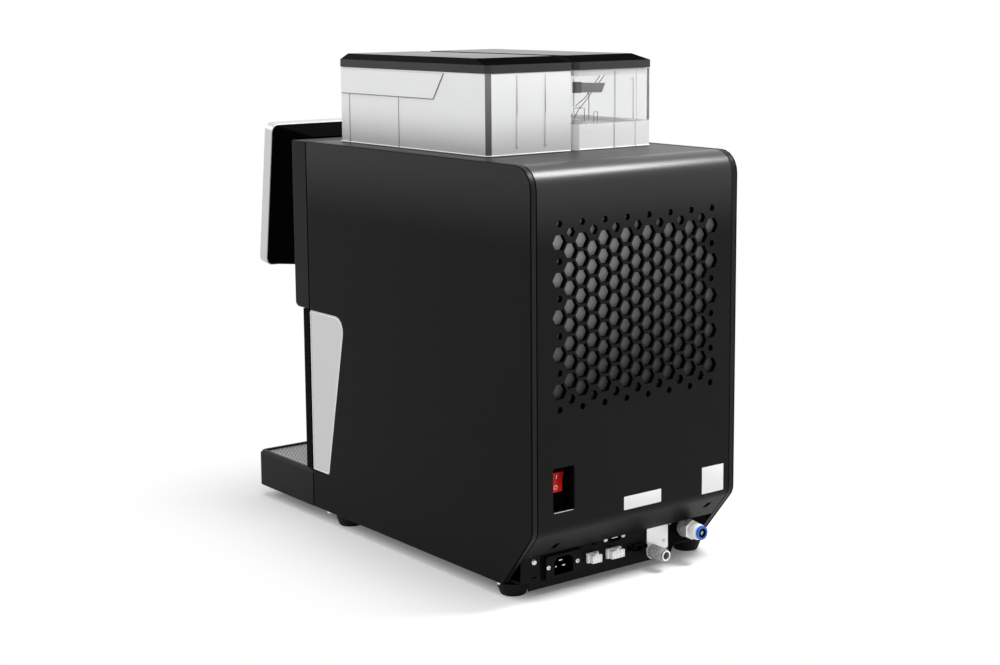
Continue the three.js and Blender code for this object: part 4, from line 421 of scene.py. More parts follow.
@functools.cache
def finishes():
    """Every finish by name, made once."""
    colours = settings()[1]
    paint, moulding, silver, frost, clear = (
        tuple(getattr(colours, key)) for key in ("paint", "moulding", "silver", "frost", "clear"))
    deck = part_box("top_deck")[1].z
    walls = deck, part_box("bean_hopper")[1].z
    # Height in metres where the painted sheen of the black paint's coat starts
    painted_sheen_from = 0.38
    return {
        "paint": coat_with_painted_sheen("Black powder coat", paint, 0.46, 2600.0, 0.2, 1.12, painted_sheen_from, deck, 0.45),
        "edge_paint": speckled("Panel edge", shade(paint, 1.7), 0.34, 2600.0, 0.16, ior=1.2),
        "cover_paint": coat_with_painted_sheen("Black moulded cover", paint, 0.34, 2200.0, 0.16, 1.17, painted_sheen_from, deck, 1.0),
        "deck": speckled("Black deck", shade(paint, 1.5), 0.36, 2200.0, 0.2, ior=1.3),
        "moulding": speckled("Black moulding", moulding, 0.42, 1800.0, 0.14, ior=1.18),
        "dark_moulding": speckled("Dark moulding", shade(moulding, 0.35), 0.55, 1800.0, 0.14, ior=1.08),
        "shell": speckled("Screen shell", shade(moulding, 0.12), 0.5, 1800.0, 0.08, ior=1.02),
        "gloss": speckled("Gloss black", shade(moulding, 0.5), 0.16, 900.0, 0.02, ior=1.07),
        # Darker, unreflecting black for the lids' rear chamfer: painted shade
        "lid_bevel": speckled("Lid bevel", shade(moulding, 0.6), 0.3, 900.0, 0.02, ior=1.0),
        "lid_side": speckled("Lid side", shade(moulding, 8.0), 0.32, 1800.0, 0.12, ior=1.2),
        # Grey on the lids' rounded edges: painted highlight
        "lid_edge": speckled("Lid edge", (0.16, 0.16, 0.165), 0.2, 1800.0, 0.02, ior=1.4),
        "glass": speckled("Screen glass", shade(moulding, 0.35), 0.05, 500.0, 0.004, coat=0.5),
        "silver": speckled("Satin silver", silver, 0.33, 2600.0, 0.06, spread=0.03, metal=0.5),
        "polished": speckled("Polished edge", 0.93, 0.16, 900.0, 0.01, spread=0.02, metal=0.6),
        # White for the lines on the side trims: painted highlight
        "bright_edge": speckled("Bright edge", 0.97, 0.3, 900.0, 0.01, spread=0.02),
        "chrome": speckled("Chrome", (0.75, 0.76, 0.77), 0.08, 900.0, 0.01, spread=0.03, metal=1.0),
        "steel": brushed("Drawn steel", (0.52, 0.52, 0.53), 0.32, (1800.0, 40.0, 1800.0)),
        "grille": speckled("Etched steel", 0.34, 0.38, 1500.0, 0.08, spread=0.05, metal=0.7),
        "grey_sheet": speckled("Grey sheet", (0.30, 0.31, 0.32), 0.42, 1500.0, 0.08, spread=0.08, metal=0.8),
        # The vent backing's colour carries painted light and shade
        "backing": painted_light_backing("Vent backing", (0.032, 0.033, 0.035), (0.46, 0.465, 0.475)),
        "zinc": speckled("Plated sheet", 0.80, 0.36, 1500.0, 0.08, spread=0.05, metal=0.5),
        "screw": speckled("Screw", 0.93, 0.26, 1500.0, 0.04, spread=0.03, metal=0.3),
        "nylon": speckled("White nylon", (0.90, 0.90, 0.89), 0.42, 1400.0, 0.08, spread=0.03),
        "rubber": speckled("Black rubber", 0.006, 0.6, 900.0, 0.2, ior=1.2),
        "rocker": rocker_painted_light("Red rocker", tuple(colours.rocker), *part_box("switch_rocker")),
        "collar": speckled("Blue collar", tuple(colours.collar), 0.30, 1200.0, 0.03, spread=0.06, ior=1.4),
        "mark": speckled("White mark", (0.85, 0.80, 0.82), 0.5, 1200.0, 0.02, spread=0.02),
        "paper": speckled("Bare paper", 0.78, 0.6, 1800.0, 0.10, spread=0.02, ior=1.35),
        "board": speckled("Circuit green", (0.012, 0.10, 0.045), 0.38, 700.0, 0.05, spread=0.2),
        "alloy": speckled("Cast alloy", (0.42, 0.43, 0.44), 0.38, 800.0, 0.2, spread=0.08, metal=0.9),
        # Frosted hopper walls: painted shade darkens them low down, with a faint painted glow
        "frost": frosted("Frosted plastic", frost, 0.5, deck - 20 * MM, deck + 50 * MM, transmission=0.2),
        # The hopper's chamfered corner: a darker copy of the frosted finish, painted shade
        "frost_corner": frosted("Frosted corner", shade(frost, 0.22), 0.4, *walls, painted_glow=0.0),
        # Rear ribs: painted shade above and a painted highlight below
        "rear_rib": frosted("Rear rib", 0.93, 0.12, deck + 52 * MM, deck + 40 * MM, painted_glow=0.0),
        # Edges of the hopper's ribs and panel: painted shade as dark lines
        "frost_line": frosted("Frosted rib", shade(frost, 0.26), 0.5, *walls, transmission=0.1),
        # Clear canister, with a faint painted glow in its milky lower part
        "clear": clear_above("Clear plastic", clear, deck + 30 * MM),
        # A glowing white line at the hoppers' feet: painted highlight
        "foot_line": frosted("Hopper foot", 0.97, 1.0, *walls, painted_glow=0.1),
        # Milky plastic with a faint painted glow
        "milk": frosted("Milky plastic", 0.84, 1.0, *walls, painted_glow=0.05),
        "dark_line": speckled("Dark line", (0.035, 0.035, 0.036), 0.4, 1500.0, 0.02, ior=1.2),
        "grey_line": speckled("Grey line", 0.09, 0.4, 1500.0, 0.02, ior=1.3),
        # Edges of the clear canister: painted shade as dark lines
        "clear_line": frosted("Clear plastic edge", shade(clear, 0.30), 0.9, *walls),
        "smoke": smoked("Smoked plastic", (0.42, 0.43, 0.45)),
        "valve": speckled("Grey valve body", (0.30, 0.30, 0.31), 0.30, 1200.0, 0.06, spread=0.15),
    }


# Meshes

def keep(name, mesh, finish, body="machine", node=None):
    """A finished piece: it gets its finish, rides on its body and may stand for a CAD node."""
    piece = add_object(name, mesh)
    mesh.name = name
    mesh.materials.clear()
    mesh.materials.append(finishes()[finish])
    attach(piece, body)
    if node:
        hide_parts(node)
    return piece


def body_of(node):
    return next(body for body, nodes in frame["record"]["behaviour"]["bodies"].items() if node in nodes)


def box(node):
    """A node's lowest and highest corners, in millimetres."""
    return [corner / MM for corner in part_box(node)]


def smooth(mesh, angle=34.0):
    """Smooth faces that meet at less than this angle, in degrees; the rest stay sharp."""
    mesh.shade_smooth()
    mesh.set_sharp_from_angle(angle=math.radians(angle))
    return mesh


@contextmanager
def edited(mesh):
    """A mesh opened for editing, then written back."""
    shape = bmesh.new()
    shape.from_mesh(mesh)
    yield shape
    shape.to_mesh(mesh)
    shape.free()


def cut_away(mesh, cutter):
    """The mesh less the cutter, worked out by a Boolean modifier on a spare object."""
    spare, tool = add_object("spare", mesh), add_object("tool", cutter)
    cut = spare.modifiers.new("Cut", "BOOLEAN")
    cut.operation, cut.solver, cut.object = "DIFFERENCE", "EXACT", tool
    result = evaluated(spare)
    bpy.data.objects.remove(tool)
    return result


def merged(node):
    """A copy of a CAD node's mesh with its loose triangles joined and its flat faces made whole."""
    mesh = frame["nodes"][node].data.copy()
    with edited(mesh) as shape:
        bmesh.ops.remove_doubles(shape, verts=shape.verts, dist=0.002 * MM)
        bmesh.ops.dissolve_limit(
            shape, angle_limit=math.radians(0.6), verts=shape.verts, edges=shape.edges,
            use_dissolve_boundaries=False)
    if "custom_normal" in mesh.attributes:
        mesh.attributes.remove(mesh.attributes["custom_normal"])
    return mesh


def round_edges(mesh, radius, angle, segments=2, shortest=0.0, **options):
    """Round the edges, longer than shortest, whose faces turn by more than an angle in degrees."""
    with edited(mesh) as shape:
        sharp = [
            e for e in shape.edges
            if len(e.link_faces) == 2 and e.calc_face_angle() > math.radians(angle)
            and e.calc_length() > shortest]
        bmesh.ops.bevel(
            shape, geom=sharp, offset=radius, offset_type="OFFSET", segments=segments, profile=0.5,
            affect="EDGES", clamp_overlap=True, **options)


def dressed(node, finish, edge=None, segments=2, cutter=None, rim=None):
    """A copy of a CAD node with rounded edges, which stands for it; rim is the roundings' finish."""
    radius = settings()[0].edge_radius if edge is None else edge * MM
    mesh = merged(node)
    if cutter:
        mesh = cut_away(mesh, cutter)
    if radius > 0:
        round_edges(mesh, radius, 32.0, segments, 2 * radius, loop_slide=True, material=1 if rim else -1)
    piece = keep(node + "_finished", smooth(mesh), finish, body_of(node), node)
    if rim:
        mesh.materials.append(finishes()[rim])
    flat_first = piece.modifiers.new("Flat faces first", "WEIGHTED_NORMAL")
    flat_first.keep_sharp, flat_first.weight = True, 50
    return piece


def dress(edge=None, **finish_by_node):
    """Several nodes dressed alike, each with its own finish."""
    for node, finish in finish_by_node.items():
        dressed(node, finish, edge)


def softened(mesh, radius):
    """A made mesh with its sharp edges rounded."""
    round_edges(mesh, radius * MM, 40.0)
    return smooth(mesh)


def refinish(piece, finish, chosen):
    """Give another finish to the faces that chosen(centre, normal) picks, the centre in millimetres."""
    mesh = piece.data
    mesh.materials.append(finishes()[finish])
    index = len(mesh.materials) - 1
    for face in mesh.polygons:
        if chosen(face.center / MM, face.normal):
            face.material_index = index


def line_bore(node, piece, finish, radius):
    """Give another finish to the walls of a round hole along Y through a node's middle."""
    middle = sum(box(node), Vector()) / 2
    refinish(piece, finish, lambda c, n: (
        math.hypot(c.x - middle.x, c.z - middle.z) < radius and abs(n.y) < 0.5))


def rounded(x0, x1, z0, z1, radius):
    """A rounded rectangle's outline, counterclockwise."""
    points, steps = [], 4
    right, left, top, low = x1 - radius, x0 + radius, z1 - radius, z0 + radius
    for quarter, (x, z) in enumerate(((right, top), (left, top), (left, low), (right, low))):
        for step in range(steps + 1):
            angle = (quarter + step / steps) * math.pi / 2
            points.append((x + radius * math.cos(angle), z + radius * math.sin(angle)))
    return points


def ring(x, z, radius, count=24):
    angles = [2 * math.pi * i / count for i in range(count)]
    return [(x + radius * math.cos(a), z + radius * math.sin(a)) for a in angles]


def band(shape, first, second):
    """Faces between two closed rows of vertices."""
    for i in range(len(first)):
        j = (i + 1) % len(first)
        shape.faces.new((first[i], first[j], second[j], second[i]))


def slab(outline, near, far, hole=None, facing="Y"):
    """A flat piece: an outline in millimetres pushed from near to far along Y or Z, perhaps with a hole."""
    mesh = bpy.data.meshes.new("slab")
    with edited(mesh) as shape:
        rows = [[
            [shape.verts.new(Vector((a, depth, b) if facing == "Y" else (a, b, depth)) * MM) for a, b in loop]
            for depth in (near, far)] for loop in ([outline, hole] if hole else [outline])]
        for low, high in rows:
            band(shape, low, high)
        for layer in (0, 1):
            if hole:
                band(shape, rows[0][layer], rows[1][layer])
            else:
                shape.faces.new(rows[0][layer])
        bmesh.ops.recalc_face_normals(shape, faces=shape.faces)
    return mesh


def turned(profile, x, z):
    """A ring turned about an axis along Y from a closed list of (radius, y) in millimetres."""
    mesh, steps = bpy.data.meshes.new("turned"), 40
    with edited(mesh) as shape:
        rows = [
            [shape.verts.new(Vector((x + r * math.cos(a), y, z + r * math.sin(a))) * MM) for r, y in profile]
            for a in (2 * math.pi * i / steps for i in range(steps))]
        for i in range(steps):
            band(shape, rows[i], rows[(i + 1) % steps])
        bmesh.ops.recalc_face_normals(shape, faces=shape.faces)
    return smooth(mesh)


def joined(*meshes):
    """One mesh holding all the given ones."""
    whole = bpy.data.meshes.new("joined")
    with edited(whole) as shape:
        for mesh in meshes:
            shape.from_mesh(mesh)
    return whole


# Geometry Nodes

def host_mesh(name, points, links=(), **stored):
    """Points in millimetres, linked or loose, each with the values that are stored by name."""
    mesh = bpy.data.meshes.new(name)
    mesh.from_pydata([Vector(point[:3]) * MM for point in points], links, [])
    for key, values in stored.items():
        kind, field = ("FLOAT_VECTOR", "vector") if isinstance(values[0], tuple) else ("FLOAT", "value")
        for entry, value in zip(mesh.attributes.new(key, kind, "POINT").data, values):
            setattr(entry, field, value)
    return mesh


@functools.cache
def screw_plan():
    """Pan heads with a cross recess on the host's points, each along the point's own direction."""
    plan = Plan("Pan head screws", "Head diameter", "Head height", "Recess width")
    head, height, recess = plan.numbers
    dome = plan.node("GeometryNodeMeshCone", {
        "Vertices": 20, "Radius Top": head * 0.34, "Radius Bottom": head * 0.5, "Depth": height})
    bars = [
        plan.node("GeometryNodeMeshCube", {"Size": plan.vector(*size)})
        for size in ((head * 0.5, recess, height), (recess, head * 0.5, height))]
    cross = plan.node("GeometryNodeTransform", {
        "Geometry": plan.node("GeometryNodeMeshBoolean", {1: bars}, operation="UNION", solver="EXACT"),
        "Translation": plan.vector(z=height)})
    cut = plan.node("GeometryNodeMeshBoolean", {0: dome, 1: cross}, operation="DIFFERENCE", solver="EXACT")
    way = plan.stored("facing", "FLOAT_VECTOR")
    turn = plan.node("FunctionNodeAlignRotationToVector", {"Vector": way}, axis="Z")
    plan.close(plan.node("GeometryNodeInstanceOnPoints", {
        "Points": plan.given("Geometry"), "Instance": cut, "Rotation": turn, "Scale": plan.stored("size")}))
    return plan


def screws(name, places, finish, facing=(0, 1, 0)):
    """Pan heads at (x, y, z, size) in millimetres; size scales the set head."""
    head = settings()[0].screw_head
    host = host_mesh(name + "_places", places, facing=[facing] * len(places), size=[p[3] for p in places])
    mesh = screw_plan().grow(
        host, finish, Head_diameter=head, Head_height=head * 0.3, Recess_width=head * 0.13)
    keep(name, smooth(mesh, 25.0), finish)


@functools.cache
def strip_plan():
    """A square bar along the host's open paths, each corner rounded by the radius stored there."""
    plan = Plan("Strip along a path", "Width")
    width = plan.numbers[0]
    path = plan.node("GeometryNodeMeshToCurve", {"Mesh": plan.given("Geometry")})
    plan.close(plan.node("GeometryNodeCurveToMesh", {
        "Curve": plan.fillet(path, plan.stored("corner"), 6), "Profile Curve": plan.rectangle(width, width),
        "Fill Caps": True}))
    return plan


def strips(name, paths, width, finish, body="machine"):
    """Square bars along open paths of (x, y, z) or (x, y, z, corner radius) in millimetres."""
    points = [(*point, 0)[:4] for path in paths for point in path]
    links, start = [], 0
    for path in paths:
        links += [(i, i + 1) for i in range(start, start + len(path) - 1)]
        start += len(path)
    host = host_mesh(name + "_path", points, links, corner=[point[3] * MM for point in points])
    mesh = strip_plan().grow(host, finish, Width=width * MM)
    with edited(mesh) as shape:
        bmesh.ops.recalc_face_normals(shape, faces=shape.faces)
    keep(name, mesh, finish, body)


def edge_path(node, share):
    """The outline of a flat plate's outer face, drawn in about its middle, as a path for strips."""
    mesh, proud = merged(node), 0.25
    side = math.copysign(1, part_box(node)[0].x)
    face = max((f for f in mesh.polygons if side * f.normal.x > 0.9), key=lambda f: f.area)
    points = [mesh.vertices[i].co / MM for i in face.vertices]
    middle = sum(points, Vector()) / len(points)
    path = [middle + (point - middle) * share + Vector((side * proud, 0, 0)) for point in points]
    return [*path, path[0]]


def slotted_sheet_plan():
    """A sheet with rows of staggered slots, centred on the origin, standing on z 0."""
    plan = Plan(
        "Slotted sheet", "Length", "Depth", "Thickness", "Corner", "Columns", "Rows", "Pitch along",
        "Pitch across", "Slot length", "Slot width")
    length, depth, thickness, corner, columns, rows, along, across, slot_length, slot_width = plan.numbers
    grid = plan.node("GeometryNodeMeshGrid", {
        "Size X": (columns - 1) * along, "Size Y": (rows - 1) * across,
        "Vertices X": columns, "Vertices Y": rows})
    place = plan.node("ShaderNodeSeparateXYZ", {0: plan.node("GeometryNodeInputPosition")}, out="Y")
    row = plan.node("ShaderNodeMath", {0: place / across + (rows - 1) * 0.5}, operation="ROUND")
    odd = plan.node("ShaderNodeMath", {0: row, 1: 2.0}, operation="MODULO")
    points = plan.node("GeometryNodeSetPosition", {
        "Geometry": grid, "Offset": plan.vector(x=(odd - 0.5) * 0.5 * along)})
    slot = plan.fillet(plan.rectangle(slot_length, slot_width), slot_width * 0.49, 2)
    slots = plan.node("GeometryNodeRealizeInstances", {
        "Geometry": plan.node("GeometryNodeInstanceOnPoints", {"Points": points, "Instance": slot})})
    edge = plan.fillet(plan.rectangle(length, depth), corner, 3)
    outline = plan.node("GeometryNodeJoinGeometry", {0: [edge, slots]})
    face = plan.node("GeometryNodeFillCurve", {"Curve": outline}, mode="TRIANGLES")
    raised = plan.node("GeometryNodeExtrudeMesh", {
        "Mesh": face, "Offset": plan.vector(z=1.0), "Offset Scale": thickness, "Individual": False},
        mode="FACES")
    under = plan.node("GeometryNodeFlipFaces", {"Mesh": face})
    plan.close(plan.node("GeometryNodeMergeByDistance", {
        "Geometry": plan.node("GeometryNodeJoinGeometry", {0: [raised, under]}), "Distance": 0.005 * MM}))
    return plan


# Operators

class MACHINE_OT_cabinet(bpy.types.Operator):
    """Finish the cabinet's panels, trims, deck, base and feet"""
    bl_idname = "machine.cabinet"
    bl_label = "Cabinet"

    def execute(self, context):
        low, high = box("side_panel_right")
        for node in ("side_panel_right", "side_panel_left"):
            refinish(dressed(node, "paint"), "edge_paint", lambda c, n: (
                n.y > 0.1 and c.y > 230.0 and abs(n.x) < 0.6))
        seam_x, seam_y, seam_z = high.x - 1.0, high.y - 0.45, high.z - 0.45
        front, chamfer_top, chamfer_end = -150.0, 80.0, 239.4
        strips("panel_seams", [[
            (x, front, seam_z), (x, seam_y, seam_z, 25), (x, seam_y, chamfer_top, 20),
            (x, chamfer_end, low.z + 0.4)] for x in (-seam_x, seam_x)], 1.3, "dark_moulding")
        cover = dressed("rear_cover", "cover_paint")
        near, far = box("vent_backing")
        # The walls of the vent's holes get the near black moulding: painted shade inside the holes
        refinish(cover, "dark_moulding", lambda c, n: (
            abs(n.y) < 0.3 and near.x < c.x < far.x and near.z < c.z < far.z and c.y > near.y))
        dress(top_deck="deck", front_fascia="dark_moulding")
        for node in ("side_trim_right", "side_trim_left"):
            dressed(node, "silver", edge=0.6, segments=1, rim="polished")
            # A white line just inside the trim's outline: a painted highlight on its edge
            strips(node + "_line", [edge_path(node, 0.986)], 0.9, "bright_edge")
        dress(base_plate="paint", inner_shelf="grey_sheet", bulkhead="grey_sheet")
        for node in ("foot_front_right", "foot_front_left", "foot_rear_right", "foot_rear_left"):
            dressed(node, "rubber")
        screws(
            "panel_screws", [(x, y, low.z, 1.6) for x in (-145.4, 145.4) for y in (-121.9, 230.1)],
            "screw", facing=(0, 0, -1))
        return {"FINISHED"}


class MACHINE_OT_door(bpy.types.Operator):
    """Finish the door, its hinges, the screen and the spout guide"""
    bl_idname = "machine.door"
    bl_label = "Door and screen"

    def execute(self, context):
        dressed("front_door", "moulding")
        dressed("screen_frame", "silver", edge=1.0, rim="polished")
        dress(
            screen_glass="glass", screen_shell="shell", spout_guide="moulding",
            hinge_bracket_upper="grey_sheet")
        dressed("hinge_pin_lower", "steel", edge=0.2)
        return {"FINISHED"}


class MACHINE_OT_spout(bpy.types.Operator):
    """Finish the spout head and its nozzles"""
    bl_idname = "machine.spout"
    bl_label = "Spout"

    def execute(self, context):
        dressed("spout_head", "gloss")
        dress(0.2, nozzle_right="chrome", nozzle_left="chrome")
        return {"FINISHED"}


class MACHINE_OT_tray(bpy.types.Operator):
    """Finish the drip tray, its slotted grille and the grounds bin"""
    bl_idname = "machine.tray"
    bl_label = "Tray and bin"

    def execute(self, context):
        dress(drip_tray="moulding", grounds_bin="moulding", bin_front="moulding")
        sizes = settings()[0]
        low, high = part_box("drip_grille")
        span, middle = high - low, (low + high) / 2
        border, sheet, corner, rim_width = 3.5 * MM, 1.0 * MM, 1.7, 3
        slot_width = sizes.grille_pitch * 0.45
        pitch_along = sizes.grille_slot + slot_width
        columns = math.floor((span.x - 2 * border - pitch_along / 2) / pitch_along)
        rows = math.floor((span.y - 2 * border) / sizes.grille_pitch)
        mesh = slotted_sheet_plan().grow(
            host_mesh("grille_place", [(0, 0, 0)]), "grille", Length=span.x, Depth=span.y, Thickness=sheet,
            Corner=corner * MM, Columns=columns, Rows=rows, Pitch_along=pitch_along,
            Pitch_across=sizes.grille_pitch, Slot_length=sizes.grille_slot, Slot_width=slot_width)
        mesh.transform(Matrix.Translation((middle.x, middle.y, high.z - sheet)))
        x0, x1, y0, y1 = (v / MM for v in (low.x, high.x, low.y, high.y))
        inner = rounded(x0 + rim_width, x1 - rim_width, y0 + rim_width, y1 - rim_width, 1.0)
        rim = slab(rounded(x0, x1, y0, y1, corner), low.z / MM, (high.z - sheet) / MM, inner, "Z")
        whole = smooth(joined(mesh, rim), 25.0)
        keep("drip_grille_finished", whole, "grille", "grille", "drip_grille")
        return {"FINISHED"}


class MACHINE_OT_hoppers(bpy.types.Operator):
    """Finish the bean hopper, the powder canister, their lids and what turns in them"""
    bl_idname = "machine.hoppers"
    bl_label = "Hoppers"

    def execute(self, context):
        wall, side, rear, front = 1.2, 118.0, 178.1, -120.0
        foot, floor_top, trough_top, rim = 478.4, 480.0, 509.0, 566.0
        skirt, bevel = 568.4, 577.6
        proud = box("bean_hopper")[1].x
        # The hopper's frosted walls carry painted shade low down and a faint painted glow
        hopper = dressed("bean_hopper", "frost", edge=0.3)
        # Painted shade on the edge faces of the side ribs and panel
        refinish(hopper, "frost_line", lambda c, n: (
            side - wall < c.x < proud and abs(n.x) < 0.5 and c.y < rear - 10 and floor_top < c.z < rim))
        # Painted shade and highlight on the sides of the rear ribs
        refinish(hopper, "rear_rib", lambda c, n: c.y > rear + 0.2 and abs(n.x) > 0.5)
        # Painted shade on the chamfered rear corner
        refinish(hopper, "frost_corner", lambda c, n: n.x > 0.5 and n.y > 0.5 and c.x > side - 6)
        canister = dressed("powder_canister", "clear", edge=0.3)
        # Painted shade on the sides of the canister's rear ribs
        refinish(canister, "clear_line", lambda c, n: c.y > rear + 0.1 and abs(n.x) > 0.5 and c.x > -80)
        # Milky floor and trough faces of the canister, with a faint painted glow
        refinish(canister, "milk", lambda c, n: (
            floor_top < c.z < trough_top and n.z > 0.2 and abs(c.y) < rear - 2))
        for node in ("bean_hopper_lid", "powder_canister_lid"):
            # The rounded edges of each lid carry a painted highlight
            lid = dressed(node, "gloss", edge=0.6, rim="lid_edge")
            refinish(lid, "lid_side", lambda c, n: abs(n.z) < 0.2 and skirt < c.z < bevel)
            # Painted shade on the rear chamfer of each lid
            refinish(lid, "lid_bevel", lambda c, n: 0.15 < n.y < 0.6 and c.z > bevel + 0.2)
            # The lids' lower skirts get the milky finish and its faint painted glow
            refinish(lid, "milk", lambda c, n: c.z < skirt)
        # White strips along the hoppers' feet: a painted highlight with a painted glow
        strips("hopper_foot_line", [[
            (side, front, foot), (side, rear - 5, foot), (side - 5, rear, foot), (1.0, rear, foot)
        ]], 1.0, "foot_line", "hopper")
        strips("canister_foot_line", [[
            (-12.0, rear, foot), (-side, rear, foot), (-side, front, foot)]], 1.0, "foot_line", "canister")
        panel, step = side + 0.7, 537.0
        # A grey strip under the edge of the hopper's raised side panel: a painted shadow line
        strips("hopper_panel_line", [[
            (panel, front + 4, step), (panel, 76.2, step, 3), (panel, 96.6, rim + 0.6)
        ]], 0.7, "grey_line", "hopper")
        # A dark line on a rear rib of the canister: painted shade along its edge
        rib = [(-88.8, 555.4), (-92.8, 557.6), (-92.8, 509.6)]
        strips("canister_rib_line", [[(x, rear + 0.2, z) for x, z in rib]], 0.7, "clear_line", "canister")
        wires = (
            [(-9.0, 514.3), (-16.4, 524.2), (-57.0, 564.5)], [(-11.5, 528.0), (-25.3, 537.1), (-50.0, 564.5)],
            [(-9.0, 525.7), (-23.8, 525.0), (-23.8, 510.0)], [(-30.5, 510.5), (-30.5, 545.0)],
            [(-38.0, 509.0), (-38.0, 520.0), (-43.2, 520.0), (-43.2, 508.2)])
        strips("canister_wires", [[(x, 172.0, z) for x, z in wire] for wire in wires], 0.7,
               "dark_line", "canister")
        slide = slab([(-9.5, 543.2), (-49.5, 541.8), (-54.5, 552.4), (-9.5, 554.4)], 170.0, 172.5)
        stop = slab([(-9.4, 542.6), (-19.0, 542.4), (-19.0, 554.8), (-9.4, 555.2)], 169.5, 173.2)
        piece = keep("canister_slide", joined(slide, stop), "grey_line", "canister")
        refinish(piece, "dark_moulding", lambda c, n: c.x > -19.1)
        dressed("auger", "nylon", edge=0)
        dressed("agitator_wheel", "nylon", edge=0.2)
        dressed("mixing_bowl", "smoke")
        return {"FINISHED"}


class MACHINE_OT_switch(bpy.types.Operator):
    """Finish the mains switch and mark its rocker"""
    bl_idname = "machine.switch"
    bl_label = "Mains switch"

    def execute(self, context):
        dress(0.2, switch_pocket="dark_moulding", switch_body="dark_moulding")
        dressed("switch_rocker", "rocker", edge=0.5)
        low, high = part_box("switch_rocker")
        middle = (low + high) / 2
        faces = sorted(
            (f for f in frame["nodes"]["switch_rocker"].data.polygons if f.normal.y > 0.5),
            key=lambda f: f.center.z)
        for name, face, share, outline, hole in (
                ("rocker_line", faces[-1], 0.26, rounded(-0.45, 0.45, -2.4, 2.4, 0.3), None),
                ("rocker_ring", faces[0], -0.26, ring(0, 0, 2.5), ring(0, 0, 1.7))):
            aim = Vector((middle.x, 0, middle.z + share * (high.z - low.z)))
            away, out = aim - face.center, face.normal
            aim.y = face.center.y - (away.x * out.x + away.z * out.z) / out.y
            turn = Vector((0, 1, 0)).rotation_difference(out).to_matrix().to_4x4()
            mesh = slab(outline, -0.1, 0.12, hole)
            mesh.transform(Matrix.Translation(aim) @ turn)
            keep(name, smooth(mesh), "mark", "rocker")
        low, high = box("switch_pocket")
        sill = slab(rounded(low.x + 3.8, high.x - 4.6, 100.9, 101.4, 0.2), 290.2, 291.4)
        keep("switch_sill", sill, "zinc")
        return {"FINISHED"}


class MACHINE_OT_sockets(bpy.types.Operator):
    """Finish the connector plate, the mains inlet, the plugs and ports, and add their screws"""
    bl_idname = "machine.sockets"
    bl_label = "Sockets"

    def execute(self, context):
        dash = slab(rounded(120.0, 127.0, 21.9, 23.9, 0.9), 255.0, 270.0)
        dressed("rear_connector_plate", "paint", edge=0.2, cutter=dash)
        dress(0.2, connector_6pin="nylon", connector_8pin="nylon", data_port="dark_moulding")
        plate = box("rear_connector_plate")[1].y
        low, high = box("power_inlet")
        middle, flange = (low + high) / 2, plate + 2.3
        inlet = dressed("power_inlet", "paint", edge=0.3)
        refinish(inlet, "dark_moulding", lambda c, n: c.y < high.y - 0.4)
        serial = dressed("serial_port", "paint", edge=0.2)
        refinish(serial, "dark_moulding", lambda c, n: abs(n.y) < 0.5 and c.y > plate + 1.4)
        for node in ("connector_6pin", "connector_8pin"):
            near, far = box(node)
            outline = rounded(near.x + 1.6, far.x - 1.6, near.z + 1.6, far.z - 3.2, 0.3)
            keep(node + "_fill", slab(outline, far.y - 3.0, far.y - 0.9), "zinc")
        # A dark raised rim round the mains inlet; its wider bands are a painted shadow gap beside the raised
        # flange
        rim = slab(
            rounded(low.x - 0.8, high.x + 5.0, low.z - 0.6, 47.4, 4.2), plate, plate + 1.0,
            rounded(low.x - 0.3, high.x + 0.3, low.z - 0.3, high.z + 0.3, 2.0))
        keep("inlet_rim", softened(rim, 0.3), "dark_moulding")
        blades = [
            slab(rounded(x - w, x + w, z - h, z + h, 0.3), plate - 1.0, plate + 0.5)
            for x, z, w, h in (
                (middle.x + 2.5, middle.z + 5.0, 2.2, 0.5), (middle.x - 2.0, middle.z - 1.6, 2.0, 0.5),
                (middle.x + 9.0, middle.z - 1.4, 0.9, 0.6))]
        keep("inlet_blades", joined(*blades), "screw")
        near, far = box("data_port")
        outline = rounded(near.x + 6.6, far.x - 3.2, near.z + 6.4, near.z + 7.0, 0.2)
        keep("data_port_tongue", slab(outline, far.y + 0.1, far.y + 0.5), "screw")
        posts = [
            slab(ring(x, z, 2.7, 6), plate, plate + 5.0, ring(x, z, 1.3, 6))
            for x, z in ((-14.0, 29.6), (-36.4, 28.9))]
        keep("serial_posts", softened(joined(*posts), 0.2), "dark_moulding")
        screws("bright_screws", [
            (123.4, plate, 40.5, 1.1), (high.x - 3.4, flange, middle.z + 0.4, 1.1),
            (low.x + 5.4, flange, middle.z + 0.4, 1.1), (20.8, plate, 46.0, 0.95), (-5.4, plate, 46.4, 0.95),
        ], "screw")
        screws("dark_screws", [(38.2, plate, 45.8, 0.95)], "dark_moulding")
        return {"FINISHED"}


